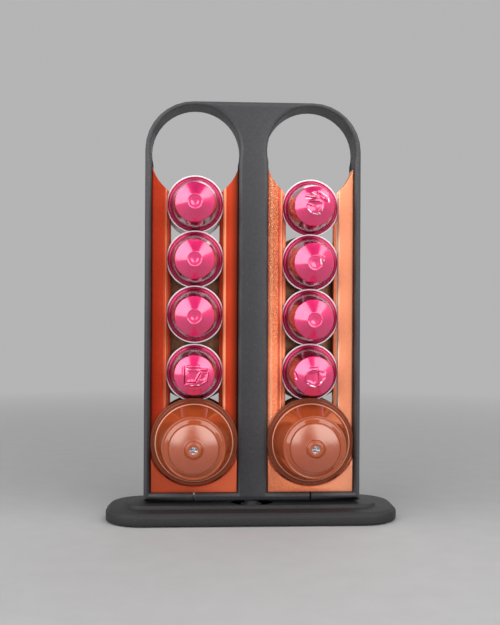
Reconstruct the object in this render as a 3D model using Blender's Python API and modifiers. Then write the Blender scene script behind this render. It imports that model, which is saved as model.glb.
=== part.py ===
"""Coffee capsule dispenser: a two-column swivel rack, filled with capsules.

The rack stands on a two-tier base and turns on a bolt. Each column has a printed rail
insert that holds capsules on its front and on its rear. Small capsules hang by their rims in
the grooves of the rails. Large capsules ride in front of the rails, behind the lips of the
frame. Both kinds go in and come out at the ring on top of their column.

Units are metres, +Z is up, -Y is the front, and the origin is on the swivel axis at floor level.
"""

import math
from dataclasses import dataclass

import bmesh
import bpy
from mathutils import Matrix

# Clearances that all pieces share
FIT_GAP = 0.0003
REST_GAP = 0.0004
SHINGLE_GAP = 0.0005
OVERRUN = 0.002
SINK = 0.001
MERGE_DISTANCE = 0.000001

# Small capsule: a drawn cup with a curled rim and a foil lid
SMALL_RIM_RADIUS = 0.0185
SMALL_SEAL_RADIUS = 0.0164
SMALL_SEAL_WIDTH = 0.0010
SMALL_ROOT_RADIUS = 0.0158
SMALL_SHOULDER_RADIUS = 0.0124
SMALL_NOSE_RADIUS = 0.0046
SMALL_BODY_HEIGHT = 0.0210
SMALL_NOSE_HEIGHT = 0.0062
SMALL_NOSE_RECESS = 0.0008
SMALL_FLANGE_THICKNESS = 0.0007
SMALL_WALL = 0.0005
SMALL_LID_INSET = 0.0009

# Large capsule: a moulded cup with a nozzle and a foil lid
LARGE_FLANGE_RADIUS = 0.0280
LARGE_ROOT_RADIUS = 0.0242
LARGE_BEAD_RADIUS = 0.0248
LARGE_SHOULDER_RADIUS = 0.0197
LARGE_RIDGE_RADIUS = 0.0191
LARGE_VALLEY_RADIUS = 0.0181
LARGE_GROOVE_RADIUS = 0.0154
LARGE_DOME_RADIUS = 0.0150
LARGE_CROWN_RADIUS = 0.0104
LARGE_NOZZLE_RADIUS = 0.0053
LARGE_NOZZLE_CHAMFER = 0.0007
LARGE_NOZZLE_BORE_RADIUS = 0.0024
LARGE_BODY_HEIGHT = 0.0220
LARGE_RIDGE_HEIGHT = 0.0009
LARGE_RIDGE_RELIEF = 0.0002
LARGE_RAMP_HEIGHT = 0.0022
LARGE_GROOVE_DEPTH = 0.0007
LARGE_DOME_HEIGHT = 0.0031
LARGE_DOME_SAG = 0.0012
LARGE_NOZZLE_HEIGHT = 0.0016
LARGE_FLANGE_THICKNESS = 0.0008
LARGE_WALL = 0.0007
LARGE_LID_INSET = 0.0010
BEAD_WIDTH = 0.0020
BEAD_MARGIN = 0.0007

# The foil lid, of either capsule, and the seal that joins it to the flange
LID_THICKNESS = 0.00025
LID_GAP = 0.0002

# Rail insert
LEDGE_HALF_THICKNESS = 0.0030
GROOVE_PLAY = 0.0013
RAIL_LIP_THICKNESS = 0.0018
LEDGE_OVERLAP = 0.00285
GROOVE_SIDE_PLAY = 0.0004
RAIL_LIP_OVERLAP = 0.0007
SMALL_STANDOFF = 0.0007
STANDOFF_PLAY = 0.00015
SEAT_CLEARANCE = 0.0019
SEAT_WALL = 0.0036
SEAT_DEPTH = 0.0031
SEAT_PLAY = 0.0006
SLOT_FLOOR_WALL = 0.0063
RAIL_EDGE_CHAMFER = 0.0011
RAIL_ARC_DROP = 0.0028
RAIL_TIP_WIDTH = 0.0008

# Rack frame
RING_CLEARANCE = 0.0006
RING_TOP_WALL = 0.0023
SIDE_WALL = 0.0032
CENTRE_WEB = 0.0170
FRAME_HEIGHT = 0.2540
FRAME_LIP_THICKNESS = 0.0020
FRAME_LIP_OVERLAP = 0.0009
FRAME_LIP_CLEARANCE = 0.00035
CHANNEL_TOP_DROP = 0.0020
BOTTOM_BAR_HEIGHT = 0.0050
OUTER_CHAMFER = 0.0020
OPENING_CHAMFER = 0.0015
SLIT_WIDTH = 0.0011

# Base and feet
BASE_LENGTH = 0.1860
BASE_DEPTH = 0.0590
BASE_CORNER_RADIUS = 0.0242
LOWER_TIER_HEIGHT = 0.0073
UPPER_TIER_HEIGHT = 0.0023
TIER_INSET = 0.0130
TIER_SLANT = 0.0006
BASE_CHAMFER = 0.0023
POCKET_RIM = 0.0009
POCKET_DEPTH = 0.0026
FOOT_RADIUS = 0.0060
FOOT_HEIGHT = 0.0012
FOOT_RECESS = 0.0005
FOOT_SET_BACK_LENGTH = 0.0240
FOOT_SET_BACK_DEPTH = 0.0135

# Swivel
SWIVEL_GAP = 0.0018
BOSS_RADIUS = 0.0042
BOSS_FOOT_RADIUS = 0.0066
BOLT_RADIUS = 0.0025
BOLT_HEAD_RADIUS = 0.0044
BOLT_HEAD_HEIGHT = 0.0026
BOLT_SOCKET_RADIUS = 0.0017
BOLT_SOCKET_DEPTH = 0.0015
BOLT_REACH = 0.0086
WASHER_RADIUS = 0.0052
WASHER_THICKNESS = 0.0008
COUNTERBORE_DEPTH = 0.0046
THREADED_INSERT_RADIUS = 0.0035
THREADED_INSERT_LENGTH = 0.0090

# Facets
LARGE_SEGMENTS = 24
SMALL_SEGMENTS = 20
BORE_SEGMENTS = 16
RING_STEPS = 26
CORNER_STEPS = 8
SHARP_ANGLE = math.radians(35)

# The front right large capsule leans by this share of the droop that a stack of them needs
LONE_DROOP_SHARE = 0.6

# Sizes that follow from the ones above
SMALL_RIM_THICKNESS = LID_THICKNESS + LID_GAP + SMALL_FLANGE_THICKNESS
LARGE_RIM_THICKNESS = LID_THICKNESS + LID_GAP + LARGE_FLANGE_THICKNESS
SMALL_DROOP = math.asin((SMALL_RIM_THICKNESS + SHINGLE_GAP) / (2 * SMALL_RIM_RADIUS))
LARGE_DROOP = math.asin((LARGE_RIM_THICKNESS + SHINGLE_GAP) / (2 * LARGE_FLANGE_RADIUS))

RAIL_GROOVE_Y = LEDGE_HALF_THICKNESS + SMALL_RIM_THICKNESS + GROOVE_PLAY
RAIL_FRONT_Y = RAIL_GROOVE_Y + RAIL_LIP_THICKNESS
SEAT_FRONT_Y = RAIL_FRONT_Y + SEAT_DEPTH
SMALL_BACK_Y = LEDGE_HALF_THICKNESS + SMALL_STANDOFF
LARGE_BACK_Y = RAIL_FRONT_Y + LARGE_FLANGE_RADIUS * math.sin(LARGE_DROOP) + STANDOFF_PLAY
CHANNEL_HALF_DEPTH = LARGE_BACK_Y + LARGE_RIM_THICKNESS + FRAME_LIP_CLEARANCE
FRAME_DEPTH = 2 * (CHANNEL_HALF_DEPTH + FRAME_LIP_THICKNESS)

RING_RADIUS = LARGE_FLANGE_RADIUS + RING_CLEARANCE
OPENING_HALF_WIDTH = RING_RADIUS - FRAME_LIP_OVERLAP
COLUMN_X = RING_RADIUS + CENTRE_WEB / 2
FRAME_HALF_WIDTH = COLUMN_X + RING_RADIUS + SIDE_WALL

BASE_UNDERSIDE_Z = FOOT_HEIGHT + FIT_GAP - FOOT_RECESS
LOWER_TIER_Z = BASE_UNDERSIDE_Z + LOWER_TIER_HEIGHT
BASE_TOP_Z = LOWER_TIER_Z + UPPER_TIER_HEIGHT
POCKET_FLOOR_Z = BASE_TOP_Z - POCKET_DEPTH
POCKET_RADIUS = BASE_DEPTH / 2 - TIER_INSET - POCKET_RIM
FRAME_BOTTOM_Z = BASE_TOP_Z + SWIVEL_GAP
FRAME_TOP_Z = FRAME_BOTTOM_Z + FRAME_HEIGHT
BAR_TOP_Z = FRAME_BOTTOM_Z + BOTTOM_BAR_HEIGHT
RING_Z = FRAME_TOP_Z - RING_TOP_WALL - RING_RADIUS

INSERT_BOTTOM_Z = BAR_TOP_Z + FIT_GAP
INSERT_HALF_WIDTH = RING_RADIUS - FIT_GAP
SEAT_HALF_WIDTH = OPENING_HALF_WIDTH - SEAT_PLAY
SEAT_RADIUS = LARGE_FLANGE_RADIUS + SEAT_CLEARANCE
SEAT_FLOOR_Z = INSERT_BOTTOM_Z + SEAT_WALL
SLOT_FLOOR_Z = INSERT_BOTTOM_Z + SLOT_FLOOR_WALL
RAIL_ARC_Z = RING_Z - RAIL_ARC_DROP
RAIL_TIP_Z = RAIL_ARC_Z - math.sqrt(RING_RADIUS**2 - (INSERT_HALF_WIDTH - RAIL_TIP_WIDTH) ** 2)

LARGE_BOTTOM_Z = SEAT_FLOOR_Z + REST_GAP + LARGE_FLANGE_RADIUS
LARGE_PITCH = LARGE_FLANGE_RADIUS + LARGE_ROOT_RADIUS + REST_GAP
SMALL_PITCH = SMALL_RIM_RADIUS + SMALL_SEAL_RADIUS + REST_GAP
SMALL_EDGE_PITCH = 2 * SMALL_RIM_RADIUS + REST_GAP


@dataclass(frozen=True)
class Capsule:
    """One capsule of a stack.

    Args:
        large: True for the large kind.
        droop: How far the nose hangs down, in radians.
    """

    large: bool
    droop: float


def reset_scene():
    """Removes every object, so that the script can run in an open file."""
    for obj in list(bpy.data.objects):
        bpy.data.objects.remove(obj, do_unlink=True)


def new_collection(name):
    """Returns a new collection that is linked to the scene."""
    collection = bpy.data.collections.new(name)
    bpy.context.scene.collection.children.link(collection)
    return collection


def new_material(name, colour, roughness, metallic):
    """Returns a plain material in one colour."""
    material = bpy.data.materials.new(name)
    material.use_nodes = True
    shader = material.node_tree.nodes["Principled BSDF"]
    shader.inputs["Base Color"].default_value = (*colour, 1)
    shader.inputs["Roughness"].default_value = roughness
    shader.inputs["Metallic"].default_value = metallic
    material.diffuse_color = (*colour, 1)
    return material


def mesh_from(bm, name):
    """Writes a bmesh to a new mesh and frees it."""
    bmesh.ops.recalc_face_normals(bm, faces=bm.faces)
    mesh = bpy.data.meshes.new(name)
    bm.to_mesh(mesh)
    bm.free()
    return mesh


def add_object(name, mesh, collection, material=None, parent=None):
    """Puts a mesh in a collection as a named object."""
    obj = bpy.data.objects.new(name, mesh)
    collection.objects.link(obj)
    if material:
        mesh.materials.clear()
        mesh.materials.append(material)
    obj.parent = parent
    return obj


def smooth(obj):
    """Shades a round piece smooth and keeps its real edges sharp."""
    obj.data.shade_smooth()
    obj.data.set_sharp_from_angle(angle=SHARP_ANGLE)


def arc(centre, radius, start, end, steps):
    """Returns points along an arc, with both of its ends.

    Args:
        centre: The arc's centre, as two coordinates.
        radius: Its radius.
        start: The angle where it begins, in radians from +X.
        end: The angle where it ends.
        steps: How many straight pieces it has.
    """
    angles = [start + (end - start) * step / steps for step in range(steps + 1)]
    return [(centre[0] + radius * math.cos(a), centre[1] + radius * math.sin(a)) for a in angles]


def rounded_rectangle(half_length, half_depth, radius):
    """Returns the outline of a rectangle with round corners."""
    outline = []
    for quarter, (side_x, side_y) in enumerate(((1, 1), (-1, 1), (-1, -1), (1, -1))):
        centre = (side_x * (half_length - radius), side_y * (half_depth - radius))
        start = quarter * math.pi / 2
        outline += arc(centre, radius, start, start + math.pi / 2, CORNER_STEPS)
    return outline


def slab_mesh(name, outline, low, high):
    """Returns an outline in X and Y, filled and extruded from one height to another."""
    curve = bpy.data.curves.new(name, "CURVE")
    curve.dimensions = "2D"
    curve.fill_mode = "BOTH"
    curve.extrude = (high - low) / 2
    spline = curve.splines.new("POLY")
    spline.points.add(len(outline) - 1)
    for point, (x, y) in zip(spline.points, outline):
        point.co = (x, y, 0, 1)
    spline.use_cyclic_u = True
    drawn = bpy.data.objects.new(name, curve)
    bpy.context.scene.collection.objects.link(drawn)
    mesh = bpy.data.meshes.new_from_object(drawn.evaluated_get(bpy.context.evaluated_depsgraph_get()))
    bpy.data.objects.remove(drawn, do_unlink=True)
    bm = bmesh.new()
    bm.from_mesh(mesh)
    bmesh.ops.remove_doubles(bm, verts=bm.verts, dist=MERGE_DISTANCE)
    bmesh.ops.dissolve_limit(bm, angle_limit=math.radians(1), verts=bm.verts, edges=bm.edges)
    bmesh.ops.translate(bm, vec=(0, 0, (low + high) / 2), verts=bm.verts)
    return mesh_from(bm, name)


def stand_up(mesh):
    """Turns a flat mesh so that its outline stands in X and Z and its height runs to -Y."""
    mesh.transform(Matrix.Rotation(math.pi / 2, 4, "X"))
    return mesh


def loft_mesh(name, sections):
    """Returns a closed solid through outlines that have the same number of points.

    Args:
        name: The mesh's name.
        sections: Pairs of a height and an outline in X and Y, from the lowest to the highest.
    """
    bm = bmesh.new()
    rings = [[bm.verts.new((x, y, z)) for x, y in outline] for z, outline in sections]
    count = len(rings[0])
    for low, high in zip(rings, rings[1:]):
        for i in range(count):
            j = (i + 1) % count
            bm.faces.new((low[i], low[j], high[j], high[i]))
    bm.faces.new(reversed(rings[0]))
    bm.faces.new(rings[-1])
    return mesh_from(bm, name)


def box_mesh(name, half_x, half_y, low, high):
    """Returns a box that is centred in X and Y."""
    bm = bmesh.new()
    size = Matrix.Diagonal((2 * half_x, 2 * half_y, high - low, 1))
    place = Matrix.Translation((0, 0, (low + high) / 2))
    bmesh.ops.create_cube(bm, size=1, matrix=place @ size)
    return mesh_from(bm, name)


def cylinder_mesh(name, radius, low, high, places=((0, 0),), segments=BORE_SEGMENTS):
    """Returns upright cylinders of one size, one at each place."""
    bm = bmesh.new()
    for x, y in places:
        centre = Matrix.Translation((x, y, (low + high) / 2))
        bmesh.ops.create_cone(bm, cap_ends=True, segments=segments, radius1=radius,
                              radius2=radius, depth=high - low, matrix=centre)
    return mesh_from(bm, name)


def mark_bevel_edges(mesh, chosen):
    """Gives full bevel weight to the edges that a test chooses.

    Args:
        mesh: The mesh that a Bevel modifier will work on.
        chosen: A function that takes an edge and says whether it is bevelled.
    """
    bm = bmesh.new()
    bm.from_mesh(mesh)
    weight = bm.edges.layers.float.new("bevel_weight_edge")
    for edge in bm.edges:
        edge[weight] = 1.0 if chosen(edge) else 0.0
    bm.to_mesh(mesh)
    bm.free()


def borders_face_along(axis, sides):
    """Returns a test for the edges round the faces that look along an axis, on the given sides."""
    def chosen(edge):
        ends = [face.normal[axis] for face in edge.link_faces]
        flat = [value for value in ends if abs(value) > math.cos(math.radians(1))]
        return len(flat) == 1 and (1 if flat[0] > 0 else -1) in sides
    return chosen


def is_upright(edge):
    """Says whether an edge runs along Z."""
    start, end = (vert.co for vert in edge.verts)
    return abs(end.z - start.z) > max(abs(end.x - start.x), abs(end.y - start.y))


def add_bevel(obj, width):
    """Chamfers the edges that carry bevel weight."""
    bevel = obj.modifiers.new("chamfer", "BEVEL")
    bevel.limit_method = "WEIGHT"
    bevel.width = width
    bevel.segments = 1


def add_boolean(obj, other_mesh, operation, cutters, location=(0, 0, 0)):
    """Cuts a mesh from an object, or joins it to the object.

    Args:
        obj: The object that changes.
        other_mesh: The mesh that is cut away or joined.
        operation: DIFFERENCE or UNION.
        cutters: The collection that keeps the other mesh's object.
        location: Where that object stands.
    """
    tool = add_object(f"{obj.name}_{other_mesh.name}", other_mesh, cutters)
    tool.location = location
    tool.display_type = "WIRE"
    tool.hide_render = True
    boolean = obj.modifiers.new(other_mesh.name, "BOOLEAN")
    boolean.object = tool
    boolean.operation = operation
    boolean.solver = "EXACT"


def turned_mesh(name, profile, closed=False):
    """Returns a profile in X and Z, ready for a Screw modifier.

    Args:
        name: The mesh's name.
        profile: Points of a radius and a height, down the outer side.
        closed: True where the last point joins the first, as on a ring.
    """
    bm = bmesh.new()
    verts = [bm.verts.new((radius, 0, height)) for radius, height in profile]
    for start, end in zip(verts, verts[1:]):
        bm.edges.new((start, end))
    if closed:
        bm.edges.new((verts[-1], verts[0]))
    mesh = bpy.data.meshes.new(name)
    bm.to_mesh(mesh)
    bm.free()
    return mesh


def add_screw(obj, segments):
    """Turns a profile round its own Z axis."""
    screw = obj.modifiers.new("turn", "SCREW")
    screw.axis = "Z"
    screw.steps = segments
    screw.render_steps = segments
    screw.use_merge_vertices = True
    screw.merge_threshold = MERGE_DISTANCE
    screw.use_smooth_shade = True


def small_cup_profile():
    """Returns the small cup's section, from the middle of its nose to the inside of its nose."""
    back = LID_THICKNESS + LID_GAP
    front = back + SMALL_FLANGE_THICKNESS
    shoulder = front + SMALL_BODY_HEIGHT
    nose = shoulder + SMALL_NOSE_HEIGHT
    curl = SMALL_FLANGE_THICKNESS / 2
    return [
        (0, nose - SMALL_NOSE_RECESS),
        (SMALL_NOSE_RADIUS - SMALL_NOSE_RECESS, nose - SMALL_NOSE_RECESS),
        (SMALL_NOSE_RADIUS, nose),
        (SMALL_SHOULDER_RADIUS, shoulder),
        (SMALL_ROOT_RADIUS, front + SMALL_SEAL_WIDTH),
        (SMALL_SEAL_RADIUS, front + SMALL_SEAL_WIDTH),
        (SMALL_SEAL_RADIUS, front),
        (SMALL_RIM_RADIUS - curl, front),
        (SMALL_RIM_RADIUS, front - curl),
        (SMALL_RIM_RADIUS - curl, back),
        (SMALL_ROOT_RADIUS - SMALL_WALL, back),
        (SMALL_SHOULDER_RADIUS - SMALL_WALL, shoulder - SMALL_WALL),
        (SMALL_NOSE_RADIUS - SMALL_NOSE_RECESS, nose - SMALL_NOSE_RECESS - SMALL_WALL),
        (0, nose - SMALL_NOSE_RECESS - SMALL_WALL),
    ]


def large_cup_profile():
    """Returns the large cup's section, from its nozzle's bore to the inside of its dome."""
    back = LID_THICKNESS + LID_GAP
    front = back + LARGE_FLANGE_THICKNESS
    bead = LARGE_RIM_THICKNESS + front + BEAD_MARGIN
    shoulder = front + LARGE_BODY_HEIGHT
    ridge = shoulder + LARGE_RIDGE_HEIGHT
    valley = ridge - LARGE_RIDGE_RELIEF
    groove = valley + LARGE_RAMP_HEIGHT
    dome = groove + LARGE_GROOVE_DEPTH
    crown = dome + LARGE_DOME_HEIGHT
    tip = crown + LARGE_NOZZLE_HEIGHT
    return [
        (0, crown),
        (LARGE_NOZZLE_BORE_RADIUS, crown),
        (LARGE_NOZZLE_BORE_RADIUS, tip),
        (LARGE_NOZZLE_RADIUS - LARGE_NOZZLE_CHAMFER, tip),
        (LARGE_NOZZLE_RADIUS, tip - LARGE_NOZZLE_CHAMFER),
        (LARGE_NOZZLE_RADIUS, crown),
        (LARGE_CROWN_RADIUS, crown - LARGE_DOME_SAG),
        (LARGE_DOME_RADIUS, dome),
        (LARGE_GROOVE_RADIUS, groove),
        (LARGE_VALLEY_RADIUS, valley),
        (LARGE_RIDGE_RADIUS, ridge),
        (LARGE_SHOULDER_RADIUS, shoulder),
        (LARGE_ROOT_RADIUS, bead + BEAD_WIDTH),
        (LARGE_BEAD_RADIUS, bead + BEAD_WIDTH / 2),
        (LARGE_ROOT_RADIUS, bead),
        (LARGE_ROOT_RADIUS, front),
        (LARGE_FLANGE_RADIUS, front),
        (LARGE_FLANGE_RADIUS, back),
        (LARGE_ROOT_RADIUS - LARGE_WALL, back),
        (LARGE_SHOULDER_RADIUS - LARGE_WALL, shoulder - LARGE_WALL),
        (LARGE_DOME_RADIUS - LARGE_WALL, groove - LARGE_WALL),
        (LARGE_NOZZLE_RADIUS, crown - LARGE_WALL - LARGE_GROOVE_DEPTH),
        (0, crown - LARGE_WALL),
    ]


def make_capsule_meshes():
    """Returns the meshes that all capsules share, by kind and piece."""
    small_lid = cylinder_mesh("small_lid", SMALL_RIM_RADIUS - SMALL_LID_INSET, 0, LID_THICKNESS,
                              segments=SMALL_SEGMENTS)
    large_lid = cylinder_mesh("large_lid", LARGE_FLANGE_RADIUS - LARGE_LID_INSET, 0, LID_THICKNESS,
                              segments=LARGE_SEGMENTS)
    return {
        "small_cup": turned_mesh("small_cup", small_cup_profile()),
        "small_lid": small_lid,
        "large_cup": turned_mesh("large_cup", large_cup_profile()),
        "large_lid": large_lid,
    }


def cone_radius_at(distance):
    """Returns the small cup's radius at a distance in front of its lid's back."""
    start = SMALL_RIM_THICKNESS + SMALL_SEAL_WIDTH
    slope = (SMALL_ROOT_RADIUS - SMALL_SHOULDER_RADIUS) / (SMALL_BODY_HEIGHT - SMALL_SEAL_WIDTH)
    return SMALL_ROOT_RADIUS - slope * max(distance - start, 0)


def stack_heights(stack):
    """Returns the height of each capsule's axis, from the bottom of its column up.

    Args:
        stack: The capsules, from the lowest to the highest.
    """
    heights = [LARGE_BOTTOM_Z]
    for below, above in zip(stack, stack[1:]):
        if above.large:
            step = LARGE_PITCH
        elif below.large:
            reach = LARGE_BACK_Y + LARGE_FLANGE_RADIUS * math.sin(below.droop) - SMALL_BACK_Y
            sag = (reach + LARGE_RIM_THICKNESS) * math.sin(above.droop)
            step = LARGE_FLANGE_RADIUS + REST_GAP + cone_radius_at(reach) + sag
        elif below.droop > 0:
            step = SMALL_PITCH
        else:
            step = SMALL_EDGE_PITCH
        heights.append(heights[-1] + step)
    return heights


def make_capsules(name, stack, column_x, facing, meshes, finishes, collection, parent):
    """Makes the cups and lids of one side of one column.

    Args:
        name: The side and column that start each node's name.
        stack: The capsules, from the lowest to the highest.
        column_x: The column's middle.
        facing: -1 for the front and 1 for the rear.
        meshes: The shared capsule meshes.
        finishes: The materials, by name.
        collection: Where the objects go.
        parent: The rack's empty.
    """
    for number, (capsule, height) in enumerate(zip(stack, stack_heights(stack)), start=1):
        kind = "large" if capsule.large else "small"
        segments = LARGE_SEGMENTS if capsule.large else SMALL_SEGMENTS
        back = LARGE_BACK_Y if capsule.large else SMALL_BACK_Y
        base_name = f"{name}_{number}_{kind}"
        cup = add_object(f"{base_name}_cup", meshes[f"{kind}_cup"], collection,
                         finishes[f"{kind}_cup"], parent)
        add_screw(cup, segments)
        cup.location = (column_x, facing * back, height)
        cup.rotation_euler = (math.pi / 2 + capsule.droop, 0, math.pi if facing > 0 else 0)
        lid = add_object(f"{base_name}_lid", meshes[f"{kind}_lid"], collection,
                         finishes[f"{kind}_lid"], cup)
        smooth(lid)


def frame_outline():
    """Returns the frame's outline in X and Z: square at the foot, round at the top."""
    radius = RING_RADIUS + RING_TOP_WALL
    centre_x = FRAME_HALF_WIDTH - radius
    centre_z = FRAME_TOP_Z - radius
    outline = [(-FRAME_HALF_WIDTH, FRAME_BOTTOM_Z), (FRAME_HALF_WIDTH, FRAME_BOTTOM_Z)]
    outline += arc((centre_x, centre_z), radius, 0, math.pi / 2, CORNER_STEPS)
    outline += arc((-centre_x, centre_z), radius, math.pi / 2, math.pi, CORNER_STEPS)
    return outline


def window_outline(offset):
    """Returns the outline of a column's window with its ring, widened by an offset."""
    half_width = OPENING_HALF_WIDTH + offset
    radius = RING_RADIUS + offset
    dip = math.acos(half_width / radius)
    bottom = BAR_TOP_Z - offset
    outline = [(-half_width, bottom), (half_width, bottom)]
    return outline + arc((0, RING_Z), radius, -dip, math.pi + dip, RING_STEPS)


def make_frame(collection, cutters, material, parent):
    """Makes the printed rack frame, with its two windows, channels and rings."""
    half_depth = FRAME_DEPTH / 2
    mesh = slab_mesh("frame", frame_outline(), -half_depth, half_depth)
    mark_bevel_edges(mesh, borders_face_along(2, (1, -1)))
    frame = add_object("rack_frame", stand_up(mesh), collection, material, parent)
    add_bevel(frame, OUTER_CHAMFER)
    outside = half_depth + OVERRUN
    flare = OPENING_CHAMFER + OVERRUN
    inside = half_depth - OPENING_CHAMFER
    for side, column_x in (("left", -COLUMN_X), ("right", COLUMN_X)):
        window = loft_mesh(f"{side}_window", [
            (-outside, window_outline(flare)),
            (-inside, window_outline(0)),
            (inside, window_outline(0)),
            (outside, window_outline(flare)),
        ])
        place = (column_x, 0, 0)
        add_boolean(frame, stand_up(window), "DIFFERENCE", cutters, place)
        channel = box_mesh(f"{side}_channel", RING_RADIUS, CHANNEL_HALF_DEPTH,
                           BAR_TOP_Z, RING_Z - CHANNEL_TOP_DROP)
        add_boolean(frame, channel, "DIFFERENCE", cutters, place)
        slit = box_mesh(f"{side}_slit", SLIT_WIDTH / 2, outside,
                        FRAME_BOTTOM_Z - OVERRUN, BAR_TOP_Z + OVERRUN)
        add_boolean(frame, slit, "DIFFERENCE", cutters, place)
    bore = cylinder_mesh("insert_bore", THREADED_INSERT_RADIUS + FIT_GAP, FRAME_BOTTOM_Z - OVERRUN,
                         FRAME_BOTTOM_Z + THREADED_INSERT_LENGTH + 2 * FIT_GAP)
    add_boolean(frame, bore, "DIFFERENCE", cutters)
    return frame


def slot_outline():
    """Returns the stepped space between the rails, in X and Y: lip, groove and ledge."""
    ledge = SMALL_RIM_RADIUS - LEDGE_OVERLAP
    groove = SMALL_RIM_RADIUS + GROOVE_SIDE_PLAY
    lip = SMALL_RIM_RADIUS - RAIL_LIP_OVERLAP
    steps = [
        (ledge, LEDGE_HALF_THICKNESS),
        (groove, LEDGE_HALF_THICKNESS),
        (groove, RAIL_GROOVE_Y),
        (lip, RAIL_GROOVE_Y),
        (lip, RAIL_FRONT_Y + OVERRUN),
    ]
    back_right = steps
    back_left = [(-x, y) for x, y in reversed(steps)]
    front_left = [(-x, -y) for x, y in steps]
    front_right = [(x, -y) for x, y in reversed(steps)]
    return back_right + back_left + front_left + front_right


def seat_outline():
    """Returns the seat plate's outline in X and Z, with the hollow that a large flange rests in."""
    centre_z = SEAT_FLOOR_Z + SEAT_RADIUS
    reach = math.acos(SEAT_HALF_WIDTH / SEAT_RADIUS)
    outline = [(-SEAT_HALF_WIDTH, INSERT_BOTTOM_Z), (SEAT_HALF_WIDTH, INSERT_BOTTOM_Z)]
    return outline + arc((0, centre_z), SEAT_RADIUS, -reach, -math.pi + reach, 2 * CORNER_STEPS)


def make_insert(name, column_x, collection, cutters, material, parent):
    """Makes one printed rail insert: two rails, a foot and a seat plate on each side."""
    mesh = box_mesh(name, INSERT_HALF_WIDTH, RAIL_FRONT_Y, INSERT_BOTTOM_Z, RAIL_TIP_Z)
    mark_bevel_edges(mesh, is_upright)
    insert = add_object(name, mesh, collection, material, parent)
    insert.location = (column_x, 0, 0)
    add_bevel(insert, RAIL_EDGE_CHAMFER)
    place = (column_x, 0, 0)
    slot = loft_mesh("slot", [(SLOT_FLOOR_Z, slot_outline()), (RAIL_TIP_Z + OVERRUN, slot_outline())])
    add_boolean(insert, slot, "DIFFERENCE", cutters, place)
    hollow = cylinder_mesh("ring_hollow", RING_RADIUS, -RAIL_FRONT_Y - OVERRUN, RAIL_FRONT_Y + OVERRUN,
                           places=((0, RAIL_ARC_Z),), segments=2 * RING_STEPS)
    add_boolean(insert, stand_up(hollow), "DIFFERENCE", cutters, place)
    for side, low, high in (("front", RAIL_FRONT_Y - SINK, SEAT_FRONT_Y),
                            ("rear", -SEAT_FRONT_Y, -RAIL_FRONT_Y + SINK)):
        seat = slab_mesh(f"{side}_seat", seat_outline(), low, high)
        add_boolean(insert, stand_up(seat), "UNION", cutters, place)
    return insert


def foot_places():
    """Returns the middles of the four feet."""
    x = BASE_LENGTH / 2 - FOOT_SET_BACK_LENGTH
    y = BASE_DEPTH / 2 - FOOT_SET_BACK_DEPTH
    return [(x, y), (-x, y), (-x, -y), (x, -y)]


def boss_profile():
    """Returns the flared boss that the rack turns on, with its foot sunk in the base."""
    flare = BOSS_FOOT_RADIUS - BOSS_RADIUS
    top = FRAME_BOTTOM_Z - FIT_GAP
    curve = arc((BOSS_FOOT_RADIUS, POCKET_FLOOR_Z + flare), flare, math.pi, 1.5 * math.pi, CORNER_STEPS // 2)
    return [(0, top), (BOSS_RADIUS, top)] + curve + [
        (BOSS_FOOT_RADIUS, POCKET_FLOOR_Z - SINK),
        (0, POCKET_FLOOR_Z - SINK),
    ]


def turned_solid_mesh(name, profile, segments):
    """Returns a turned solid as a finished mesh, for a Boolean to join."""
    drawn = bpy.data.objects.new(name, turned_mesh(name, profile))
    bpy.context.scene.collection.objects.link(drawn)
    add_screw(drawn, segments)
    mesh = bpy.data.meshes.new_from_object(drawn.evaluated_get(bpy.context.evaluated_depsgraph_get()))
    bpy.data.objects.remove(drawn, do_unlink=True)
    mesh.name = name
    return mesh


def make_base(collection, cutters, material):
    """Makes the two-tier base, with the swivel's pocket, boss and counterbore."""
    half_length = BASE_LENGTH / 2
    half_depth = BASE_DEPTH / 2
    lower = rounded_rectangle(half_length, half_depth, BASE_CORNER_RADIUS)
    mesh = slab_mesh("base", lower, BASE_UNDERSIDE_Z, LOWER_TIER_Z)
    mark_bevel_edges(mesh, borders_face_along(2, (1,)))
    base = add_object("base", mesh, collection, material)
    add_bevel(base, BASE_CHAMFER)
    upper = [(z, rounded_rectangle(half_length - inset, half_depth - inset, BASE_CORNER_RADIUS - inset))
             for z, inset in ((LOWER_TIER_Z - SINK, TIER_INSET), (LOWER_TIER_Z, TIER_INSET),
                              (BASE_TOP_Z, TIER_INSET + TIER_SLANT))]
    add_boolean(base, loft_mesh("upper_tier", upper), "UNION", cutters)
    pocket = cylinder_mesh("pocket", POCKET_RADIUS, POCKET_FLOOR_Z, BASE_TOP_Z + OVERRUN,
                           segments=2 * BORE_SEGMENTS)
    add_boolean(base, pocket, "DIFFERENCE", cutters)
    add_boolean(base, turned_solid_mesh("boss", boss_profile(), BORE_SEGMENTS), "UNION", cutters)
    bolt_bore = cylinder_mesh("bolt_bore", BOLT_RADIUS + FIT_GAP, BASE_UNDERSIDE_Z - OVERRUN,
                              FRAME_BOTTOM_Z + OVERRUN)
    add_boolean(base, bolt_bore, "DIFFERENCE", cutters)
    counterbore = cylinder_mesh("counterbore", WASHER_RADIUS + FIT_GAP, BASE_UNDERSIDE_Z - OVERRUN,
                                BASE_UNDERSIDE_Z + COUNTERBORE_DEPTH)
    add_boolean(base, counterbore, "DIFFERENCE", cutters)
    recesses = cylinder_mesh("foot_recesses", FOOT_RADIUS + FIT_GAP, BASE_UNDERSIDE_Z - OVERRUN,
                             BASE_UNDERSIDE_Z + FOOT_RECESS, places=foot_places())
    add_boolean(base, recesses, "DIFFERENCE", cutters)
    return base


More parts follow.
